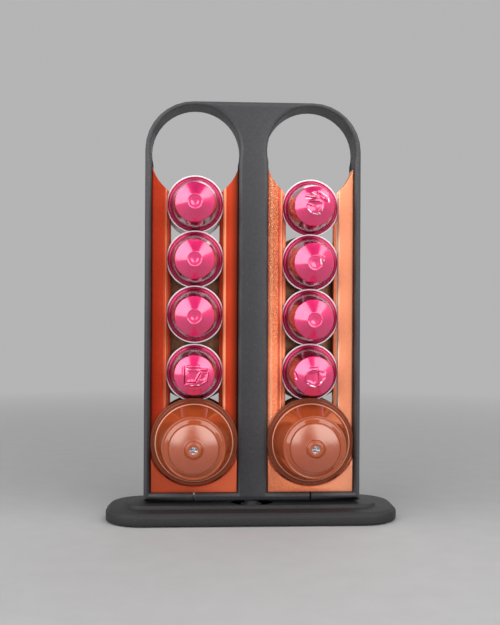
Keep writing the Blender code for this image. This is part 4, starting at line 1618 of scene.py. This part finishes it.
    def star(self, x: np.ndarray, y: np.ndarray, z: np.ndarray) -> np.ndarray:
        """Folds the foil in the nozzle into a star.

        Args:
            x: How far right of the axis the turned points lie.
            y: How far above it they lie.
            z: How far in front of the lid's back they lie.

        Returns:
            The moved points, as rows.
        """
        out = np.hypot(x, y)
        t = np.clip(out / self.bore_radius, 0, 1)
        inner = (out < self.bore_radius - 0.05 * MM) & (z > self.crown_height - 0.5 * MM)
        ridges = np.abs(np.sin(2 * np.arctan2(y, x) + 0.3)) * t * (1 - t) * self.fold_depth
        fold = ridges - 0.5 * MM * t ** 2 * (1 - t)
        return np.column_stack((x, y, z + np.where(inner, fold, 0)))


@dataclass
class LidWare:
    """A foil lid, pleated and ridged where it is sealed to the flange and slack over the mouth.

    Args:
        thickness: How thick it is.
        seal_width: How wide its sealed border is.
        slack: How far it sags over the mouth.
        slack_run: How far inside the border it is fully slack.
        waves: How many waves make up the slack.
        pleats: How many pleats the border has.
        pleat_depth: How high they are.
        ridge_gap: How far apart the border's ridges are.
        ridge_height: How high they are.
        step: The longest run of its section.
        segments: How many facets it has round its axis.
    """

    thickness: float = 0.25 * MM
    seal_width: float = 4.3 * MM
    slack: float = 0.12 * MM
    slack_run: float = 1.2 * MM
    waves: int = 7
    pleats: int = 72
    pleat_depth: float = 0.02 * MM
    ridge_gap: float = 1.3 * MM
    ridge_height: float = 0.2 * MM
    step: float = 0.8 * MM
    segments: int = 144

    def section(self, radius: float) -> list[Corner]:
        """Draws the lid's section.

        Args:
            radius: The lid's radius.

        Returns:
            Its corners, from the middle of its front to the middle of its back.
        """
        # Finish 1 on the border carries painted light on small lids
        hinge, top = radius - self.seal_width, self.thickness
        fine = self.ridge_gap / 7
        return [Corner(0, top), Corner(hinge, top, 0, 1, fine), Corner(radius - 0.1 * MM, top, 0, 1),
                Corner(radius, top / 2, 0, 1), Corner(radius - 0.1 * MM, 0, 0, 1, fine),
                Corner(hinge, 0), Corner(hinge - 0.5 * MM, 0.02 * MM), Corner(0, 0)]

    def shape(self, radius: float, seed: int) -> Shape:
        """Prepares a lid's pleats, ridges and slack.

        Args:
            radius: The lid's radius.
            seed: Chooses where it is slack.

        Returns:
            The function that moves its turned points.
        """
        random = np.random.default_rng(seed)
        folds = [(random.uniform(0, math.pi), random.uniform(0, 2 * math.pi), random.uniform(120, 420))
                 for _ in range(self.waves)]

        def bend(x: np.ndarray, y: np.ndarray, z: np.ndarray) -> np.ndarray:
            """Moves the turned points.

            Args:
                x: How far right of the axis they lie.
                y: How far above it they lie.
                z: How far in front of the lid's back they lie.

            Returns:
                The moved points, as rows.
            """
            out = np.hypot(x, y)
            mouth = np.clip((radius - self.seal_width - out) / self.slack_run, 0, 1)
            wave = sum(np.abs(np.sin((x * math.cos(a) + y * math.sin(a)) * f + p))
                       for a, p, f in folds) / len(folds)
            border = np.clip((out - radius + self.seal_width - 0.1 * MM) / (0.3 * MM), 0, 1)
            pleat = np.sin(self.pleats * np.arctan2(y, x)) * self.pleat_depth
            turn = (out - radius) / self.ridge_gap * 2 * math.pi
            ridge = (0.5 - 0.5 * np.cos(turn)) * self.ridge_height
            sag = self.slack * mouth * (wave - 0.5)
            return np.column_stack((x, y, z + sag + pleat * border + ridge * border))

        return bend


@dataclass
class CapsuleRow:
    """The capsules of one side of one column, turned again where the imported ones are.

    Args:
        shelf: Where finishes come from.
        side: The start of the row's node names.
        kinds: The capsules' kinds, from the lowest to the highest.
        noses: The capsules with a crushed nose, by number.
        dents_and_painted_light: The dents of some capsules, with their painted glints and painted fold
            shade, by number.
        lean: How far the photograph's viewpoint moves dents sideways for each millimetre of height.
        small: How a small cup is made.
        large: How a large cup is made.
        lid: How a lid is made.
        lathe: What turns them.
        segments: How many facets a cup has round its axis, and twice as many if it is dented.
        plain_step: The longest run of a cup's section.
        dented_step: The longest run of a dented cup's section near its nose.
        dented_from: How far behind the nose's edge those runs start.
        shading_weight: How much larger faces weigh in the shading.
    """

    shelf: FinishShelf
    side: str
    kinds: tuple[CapsuleKind, ...]
    noses: dict[int, Nose] = field(default_factory=dict)
    dents_and_painted_light: dict[int, DentsAndPaintedLight] = field(default_factory=dict)
    lean: float = 0.0
    small: SmallCupWare = field(default_factory=SmallCupWare)
    large: LargeCupWare = field(default_factory=LargeCupWare)
    lid: LidWare = field(default_factory=LidWare)
    lathe: Lathe = field(default_factory=Lathe)
    segments: int = 128
    plain_step: float = 2.5 * MM
    dented_step: float = 0.24 * MM
    dented_from: float = 1.3 * MM
    shading_weight: int = 80

    def place(self, lid_name: str, radius: float) -> Matrix:
        """Finds where a capsule stands and how far it droops, from its packed lid.

        Args:
            lid_name: The lid's node.
            radius: The lid's radius.

        Returns:
            The matrix that puts a turned piece there.
        """
        low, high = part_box(lid_name)
        half_turn = math.pi if self.side.startswith("rear") else 0
        droop = math.asin(max(0.0, (high.y - low.y - self.lid.thickness) / (2 * radius)))
        turn = Matrix.Rotation(half_turn, 4, "Z") @ Matrix.Rotation(math.pi / 2 + droop, 4, "X")
        centre = (low + high) / 2 - turn.to_3x3() @ Vector((0, 0, self.lid.thickness / 2))
        return Matrix.Translation(centre) @ turn

    def piece(self, name: str, mesh: bpy.types.Mesh, node: str, body: str, matrix: Matrix,
              finishes: Sequence[Finish]) -> bpy.types.Object:
        """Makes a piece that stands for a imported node.

        Args:
            name: The piece's name.
            mesh: Its mesh.
            node: The node that it stands for.
            body: The body that it rides on.
            matrix: Where it goes.
            finishes: Its finishes, in the order of the mesh's numbers.

        Returns:
            The piece.
        """
        for finish in finishes:
            mesh.materials.append(self.shelf.take(finish))
        piece = put(name, mesh, matrix)
        modify(piece, "even_shading", "WEIGHTED_NORMAL", weight=self.shading_weight)
        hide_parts(node)
        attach(piece, body)
        return piece

    def small_cup(self, name: str, number: int, seed: int) -> bpy.types.Mesh:
        """Turns a small cup.

        Args:
            name: Its mesh's name.
            number: Its number in the row.
            seed: Chooses its waviness.

        Returns:
            Its mesh.
        """
        corners = self.small.corners(self.noses.get(number, Nose.RECESSED))
        # The dents come with painted marks: glints of bare metal and the painted shade of dark folds
        dents = self.dents_and_painted_light.get(number, ())
        shape = self.small.shape(seed, dents, self.lean)
        if not dents:
            return self.lathe.turn(name, self.lathe.section(corners, self.plain_step), self.segments, shape)
        points = self.lathe.section(corners, self.plain_step, self.dented_step,
                                    self.small.shoulder_height - self.dented_from)
        cup = self.lathe.turn(name, points, self.segments * 2, shape)
        self.small.paint_glints_and_fold_shade(cup, dents, self.lean)
        return cup

    def build(self) -> list[bpy.types.Object]:
        """Builds the row's cups and lids.

        Returns:
            Them.
        """
        made = []
        for number, kind in enumerate(self.kinds, start=1):
            body = f"{self.side}_{number}_{kind.value}"
            seed = sum(ord(c) * (i + 1) for i, c in enumerate(body))
            if kind is CapsuleKind.SMALL:
                ware, foils = self.small, (SILVER_FOIL, SEAL_FOIL_PAINTED_LIGHT)
                cup = self.small_cup(f"{body}_cup_ware", number, seed)
            else:
                ware, foils = self.large, (BRONZE_FOIL, BRONZE_FOIL)
                points = self.lathe.section(self.large.corners(), self.plain_step)
                cup = self.lathe.turn(f"{body}_cup_ware", points, self.segments, self.large.star)
            matrix = self.place(f"{body}_lid", ware.lid_radius)
            made.append(self.piece(f"{body}_cup_turned", cup, f"{body}_cup", body, matrix, ware.finishes))
            points = self.lathe.section(self.lid.section(ware.lid_radius), self.lid.step)
            lid = self.lathe.turn(f"{body}_lid_ware", points, self.lid.segments,
                                  self.lid.shape(ware.lid_radius, seed))
            made.append(self.piece(f"{body}_lid_foil", lid, f"{body}_lid", body, matrix, foils))
            # The count takes in the painted marks too
            LOG.info("%s: cup and lid, %d dents", body, len(self.dents_and_painted_light.get(number, ())))
        return made


@dataclass(frozen=True)
class SoftBox:
    """A soft rectangular lamp.

    Args:
        name: Its name.
        azimuth: Its direction from the object, to the right of the front.
        elevation: How high it stands over the horizon.
        distance: How far off it is.
        width: Its width.
        height: Its height.
        level: How bright its face is, where 1 is white.
    """

    name: str
    azimuth: float
    elevation: float
    distance: float
    width: float
    height: float
    level: float

    def build(self, target: Vector) -> bpy.types.Object:
        """Makes the lamp.

        Args:
            target: What it is turned to.

        Returns:
            The lamp.
        """
        lamp = bpy.data.lights.new(self.name, "AREA")
        lamp.shape = "RECTANGLE"
        lamp.size, lamp.size_y = self.width, self.height
        lamp.energy = self.level * math.pi * self.width * self.height
        a, e = math.radians(self.azimuth), math.radians(self.elevation)
        away = Vector((math.sin(a) * math.cos(e), -math.cos(a) * math.cos(e), math.sin(e)))
        turn = away.to_track_quat("Z", "Y")
        return put(self.name, lamp, Matrix.LocRotScale(target + away * self.distance, turn, None))


@dataclass
class Studio:
    """The floor, the light and the camera.

    Args:
        shelf: Where finishes come from.
        floor_segments: How many facets the floor has round its middle.
        floor_rings: How far out the flat floor is divided.
        sweep_start: How far out it starts to rise.
        sweep_radius: The radius of its rise into the backdrop.
        sweep_steps: How many runs the rise has.
        backdrop_height: How high the backdrop is.
        world_level: How bright the room's even light is.
        boxes: The lamps.
        target_height: How high over the floor they point.
        camera_place: Where the camera stands.
        yaw: How far it turns to the right.
        pitch: How far it looks up.
        roll: How far it leans.
        lens: Its focal length in millimetres.
        sensor: Its sensor's width in millimetres.
        shift_y: How far its picture is shifted up, as a share of its size.
        clip_start: How close the nearest thing is that it sees.
    """

    shelf: FinishShelf
    floor_segments: int = 96
    floor_rings: tuple[float, ...] = (0.25, 0.6, 1.0)
    sweep_start: float = 1.9
    sweep_radius: float = 0.6
    sweep_steps: int = 12
    backdrop_height: float = 3.0
    world_level: float = 0.11
    boxes: tuple[SoftBox, ...] = (
        SoftBox("left_softbox", -52.0, 30.0, 0.85, 1.00, 1.10, 2.5),
        SoftBox("right_softbox", 40.0, 30.0, 0.85, 1.00, 1.10, 2.5),
        SoftBox("rear_softbox", 155.0, 40.0, 1.10, 0.9, 0.9, 1.1))
    target_height: float = 0.13
    camera_place: tuple[float, float, float] = (-0.0329, -0.5742, 0.1347)
    yaw: float = 3.14
    pitch: float = 0.39
    roll: float = -0.28
    lens: float = 51.03
    sensor: float = 36.0
    shift_y: float = -0.0163
    clip_start: float = 0.01

    def floor(self) -> bpy.types.Object:
        """Makes the pale floor, which rises into a round backdrop.

        Returns:
            The floor.
        """
        section = [(r, 0.0) for r in (*self.floor_rings, self.sweep_start)]
        for i in range(1, self.sweep_steps + 1):
            a = math.radians(90 * i / self.sweep_steps)
            section.append((self.sweep_start + self.sweep_radius * math.sin(a),
                            self.sweep_radius * (1 - math.cos(a))))
        section.append((self.sweep_start + self.sweep_radius, self.backdrop_height))
        count, rows = self.floor_segments, len(section)
        angles = [2 * math.pi * i / count for i in range(count)]
        verts = [(0.0, 0.0, 0.0)]
        verts += [(r * math.cos(a), r * math.sin(a), z) for a in angles for r, z in section]
        faces = []
        for i in range(count):
            here, there = 1 + i * rows, 1 + (i + 1) % count * rows
            faces.append((0, here, there))
            faces += [(here + j, here + j + 1, there + j + 1, there + j) for j in range(rows - 1)]
        mesh = bpy.data.meshes.new("pale_floor")
        mesh.from_pydata(verts, [], faces)
        mesh.shade_smooth()
        mesh.materials.append(self.shelf.take(GROUND))
        floor = put("pale_floor", mesh, Matrix())
        return floor

    def sky(self) -> None:
        """Gives the room an even grey light."""
        world = bpy.data.worlds.new("studio_room")
        world.use_nodes = True
        background = world.node_tree.nodes["Background"]
        background.inputs["Color"].default_value = (1.0, 1.0, 1.0, 1.0)
        background.inputs["Strength"].default_value = self.world_level
        bpy.context.scene.world = world

    def camera(self) -> bpy.types.Object:
        """Makes the camera at the photograph's viewpoint.

        Returns:
            The camera.
        """
        a, b, r = (math.radians(v) for v in (self.yaw, self.pitch, self.roll))
        ahead = Vector((math.sin(a) * math.cos(b), math.cos(a) * math.cos(b), math.sin(b)))
        right = Vector((math.cos(a), -math.sin(a), 0.0))
        up = right.cross(ahead)
        x = right * math.cos(r) - up * math.sin(r)
        y = right * math.sin(r) + up * math.cos(r)
        data = bpy.data.cameras.new("photograph_view")
        data.lens, data.sensor_width = self.lens, self.sensor
        data.shift_y, data.clip_start = self.shift_y, self.clip_start
        turn = Matrix((x, y, -ahead)).transposed().to_4x4()
        camera = put("photograph_view", data, Matrix.Translation(self.camera_place) @ turn)
        bpy.context.scene.camera = camera
        return camera

    def build(self) -> None:
        """Sets up the whole studio."""
        self.floor()
        self.sky()
        for box in self.boxes:
            box.build(Vector((0.0, 0.0, self.target_height)))
        self.camera()
        bpy.context.scene.view_settings.view_transform = "Standard"
        LOG.info("studio: floor, room light, %d lamps and the camera", len(self.boxes))


FRAME_EDGES = SoftEdges(1.0 * MM, 11.875 * MM, keep_off=2.0 * MM)
RAIL_EDGES = SoftEdges(1.0 * MM, 7.25 * MM, reach=17.8 * MM)
# Dents and creases of the front capsules, with painted marks: glints of bare metal (finish 1) and painted
# shade in dark folds (finish 2)
FRONT_LEFT_DENTS_AND_PAINTED_LIGHT: dict[int, DentsAndPaintedLight] = {
    2: (Crease((-6.0, 5.4), (-5.8, -5.4), 0.55, 0.9), Crease((-6.9, 5.0), (-6.6, -5.0), 0.9, -0.35),
        Crease((-4.6, 4.5), (3.4, 4.9), 0.7, 0.6), Crease((-4.4, 5.6), (3.0, 6.0), 0.8, -0.35),
        FacetDent(((-4.9, -3.6), (1.4, -4.0), (3.6, 0.4), (4.2, 3.2), (-4.4, 3.4)), (0.5,), 0.8),
        Crease((-4.8, -4.4), (0.6, -4.4), 0.6, 0.8), Crease((0.6, -4.4), (4.2, 1.6), 0.6, 0.8),
        Crease((4.2, 2.9), (8.2, 2.6), 0.6, 0.6), Crease((4.4, 4.0), (8.0, 3.6), 0.8, -0.35),
        FacetDent(((3.0, -2.4), (5.2, -3.6), (8.0, -2.0), (8.6, 1.6), (5.2, 2.2)), (0.5,), 0.7),
        Crease((8.4, 1.6), (7.6, -3.6), 0.7, -0.5), Crease((7.6, -3.6), (3.4, -6.0), 0.7, -0.5),
        Crease((-4.6, -6.0), (2.4, -6.2), 0.8, -0.5), Crease((-3.4, -7.4), (3.2, -7.4), 0.7, 0.35),
        PaintedLightMark((-6.0, 5.4), (-5.8, -5.4), 0.3, 2), PaintedLightMark((-4.6, 4.4), (3.4, 4.7), 0.25, 2),
        PaintedLightMark((-5.2, -4.2), (0.8, -4.5), 0.3, 2), PaintedLightMark((0.6, -4.5), (4.6, 2.4), 0.32, 2),
        PaintedLightMark((4.2, 2.9), (8.0, 2.6), 0.25, 2), PaintedLightMark((2.0, -5.7), (3.4, -5.9), 0.3),
        PaintedLightMark((-2.4, -5.9), (-0.2, -6.1), 0.2), PaintedLightMark((-4.9, 4.3), (-3.6, 4.0), 0.18),
        PaintedLightMark((-5.2, -5.5), (-4.5, -5.3), 0.18)),
}
FRONT_RIGHT_DENTS_AND_PAINTED_LIGHT: dict[int, DentsAndPaintedLight] = {
    2: (FacetDent(((-5.4, -1.6), (-4.0, -4.6), (0.8, -6.8), (4.8, -4.8), (7.6, -0.4), (7.4, 3.2),
                   (4.0, 4.8), (-1.0, 4.4), (-4.6, 2.6)),
                  (0.5, 0.8, 0.9, 0.6, 0.5, 0.5, 0.45, 0.4, 0.4), 0.8),
        FacetDent(((-4.2, -2.4), (0.4, -4.8), (1.8, -3.2), (1.8, 3.2), (-3.6, 2.4)), (0.5,), 0.6),
        Crease((2.6, 4.2), (2.4, -3.4), 0.6, -0.7), Crease((-2.2, 5.8), (2.6, 6.4), 0.6, 0.4),
        Crease((3.6, -5.6), (6.0, -2.6), 0.5, -0.6), Crease((-11.4, 2.2), (-10.4, -1.4), 0.8, 0.8),
        PaintedLightMark((-5.0, 2.2), (-5.5, -2.2), 0.28, 2), PaintedLightMark((-5.5, -1.8), (-3.4, -4.8), 0.25, 2),
        PaintedLightMark((3.1, 4.2), (2.8, -3.2), 0.3, 2), PaintedLightMark((-4.4, 3.0), (3.4, 5.0), 0.25, 2),
        PaintedLightMark((-1.8, 5.9), (2.2, 6.4), 0.2, 2), PaintedLightMark((-11.4, 2.2), (-10.2, 0.6), 0.3, 2),
        PaintedLightMark((2.0, -6.3), (4.9, -4.6), 0.25, 2), PaintedLightMark((-4.4, -3.7), (-2.8, -4.3), 0.25),
        PaintedLightMark((-2.4, -5.0), (1.2, -6.1), 0.4), PaintedLightMark((4.0, -3.9), (5.0, -2.6), 0.4),
        PaintedLightMark((-11.2, -1.2), (-10.8, -1.9), 0.4)),
    4: (Crease((4.3, 3.4), (4.9, -1.6), 0.6, 0.8), Crease((5.4, 3.2), (6.4, 1.2), 0.5, -0.5),
        Crease((3.0, 4.9), (6.2, 3.6), 0.7, 0.45), PaintedLightMark((3.9, 2.9), (4.7, -1.2), 0.42),
        PaintedLightMark((4.9, 3.0), (5.5, -0.8), 0.28, 2), PaintedLightMark((6.2, 1.9), (6.0, 0.9), 0.2)),
    5: (FacetDent(((-6.2, 3.9), (-2.7, 3.0), (3.7, 2.4), (8.4, 0.9), (9.7, 2.6), (9.1, 5.2), (7.5, 7.4),
                   (4.9, 9.1), (1.1, 9.5), (-2.1, 8.3), (-4.6, 6.4)),
                  (0.35, 0.35, 0.35, 0.6, 0.7, 0.7, 0.6, 0.6, 0.6, 0.5, 0.5), 1.2),
        Crease((-3.4, 8.0), (2.9, 5.4), 0.9, -0.7), Crease((1.4, 8.8), (6.4, 5.2), 0.9, -0.7),
        Crease((-5.4, 5.3), (0.4, 4.2), 0.8, -0.5),
        FacetDent(((-5.9, 2.6), (-4.9, -1.2), (-2.7, -4.1), (0.2, -5.7), (3.3, -5.7), (4.8, -4.2),
                   (5.2, 0.0), (7.4, 1.2), (3.7, 3.0), (-2.8, 3.4)),
                  (0.5, 0.6, 0.5, 0.6, 0.7, 0.8, 0.45, 0.3, 0.35, 0.35), 1.4),
        Crease((0.2, -0.4), (1.6, -4.8), 0.9, -0.7), Crease((-4.4, 1.2), (0.2, -0.4), 0.8, -0.5),
        PaintedLightMark((-5.2, 3.2), (3.0, 4.4), 0.35, 2), PaintedLightMark((-4.0, 5.6), (1.6, 4.9), 0.3, 2),
        PaintedLightMark((-2.0, 7.4), (2.4, 6.2), 0.35, 2), PaintedLightMark((2.4, 8.0), (6.6, 5.4), 0.4, 2),
        PaintedLightMark((5.6, 4.4), (8.2, 2.4), 0.35, 2), PaintedLightMark((-3.4, 2.2), (3.6, 2.6), 0.3, 2),
        PaintedLightMark((0.4, 0.4), (2.4, -3.9), 0.35, 2), PaintedLightMark((-5.9, 4.6), (-1.6, 4.2), 0.16),
        PaintedLightMark((-4.4, 6.2), (0.4, 5.3), 0.16), PaintedLightMark((-1.6, 8.1), (3.2, 5.6), 0.18),
        PaintedLightMark((3.6, 9.0), (8.2, 5.8), 0.18), PaintedLightMark((8.7, 5.2), (9.1, 1.8), 0.22),
        PaintedLightMark((-4.4, -1.8), (-1.6, -4.6), 0.25), PaintedLightMark((-1.2, -4.7), (2.6, -5.5), 0.3),
        PaintedLightMark((2.4, -4.2), (3.9, -5.2), 0.25), PaintedLightMark((4.9, -3.4), (5.2, -0.6), 0.16)),
}


def main() -> None:
    """Dresses the dispenser, piece by piece."""
    logging.basicConfig(level=logging.INFO, format="%(message)s")
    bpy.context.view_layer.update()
    shelf, breaker = FinishShelf(), EdgeBreaker()
    small, large = CapsuleKind.SMALL, CapsuleKind.LARGE
    front = (large, small, small, small, small)
    assemblies = (
        DressedSolids(
            shelf, breaker, "rack",
            {"rack_frame": (CHARCOAL, 0.28 * MM), "left_insert": (COPPER_SILK, 0.25 * MM),
             "right_insert": (ROUGH_SILK_PAINTED_LIGHT, 0.25 * MM)},
            {"rack_frame": FRAME_EDGES, "left_insert": RAIL_EDGES, "right_insert": RAIL_EDGES}),
        DressedSolids(shelf, breaker, "base", {"base": (CHARCOAL_BASE, 0.3 * MM)} | {
            f"rubber_foot_{n}": (BLACK_RUBBER, 0.2 * MM) for n in (1, 2, 3, 4)}),
        DressedSolids(
            shelf, breaker, "swivel",
            {"pivot_bolt": (ZINC, 0.12 * MM), "pivot_washer": (ZINC, 0.1 * MM),
             "threaded_insert": (BRASS, 0.12 * MM)}),
        CapsuleRow(shelf, "front_left", front, {2: Nose.CRUSHED}, FRONT_LEFT_DENTS_AND_PAINTED_LIGHT),
        CapsuleRow(shelf, "front_right", front, {2: Nose.CRUSHED, 5: Nose.CRUSHED},
                   FRONT_RIGHT_DENTS_AND_PAINTED_LIGHT, lean=-0.12),
        CapsuleRow(shelf, "rear_left", (large, large, large, small)),
        CapsuleRow(shelf, "rear_right", (large, large, large)),
    )
    for assembly in assemblies:
        assembly.build()
    Studio(shelf).build()


if __name__ == "__main__":
    main()
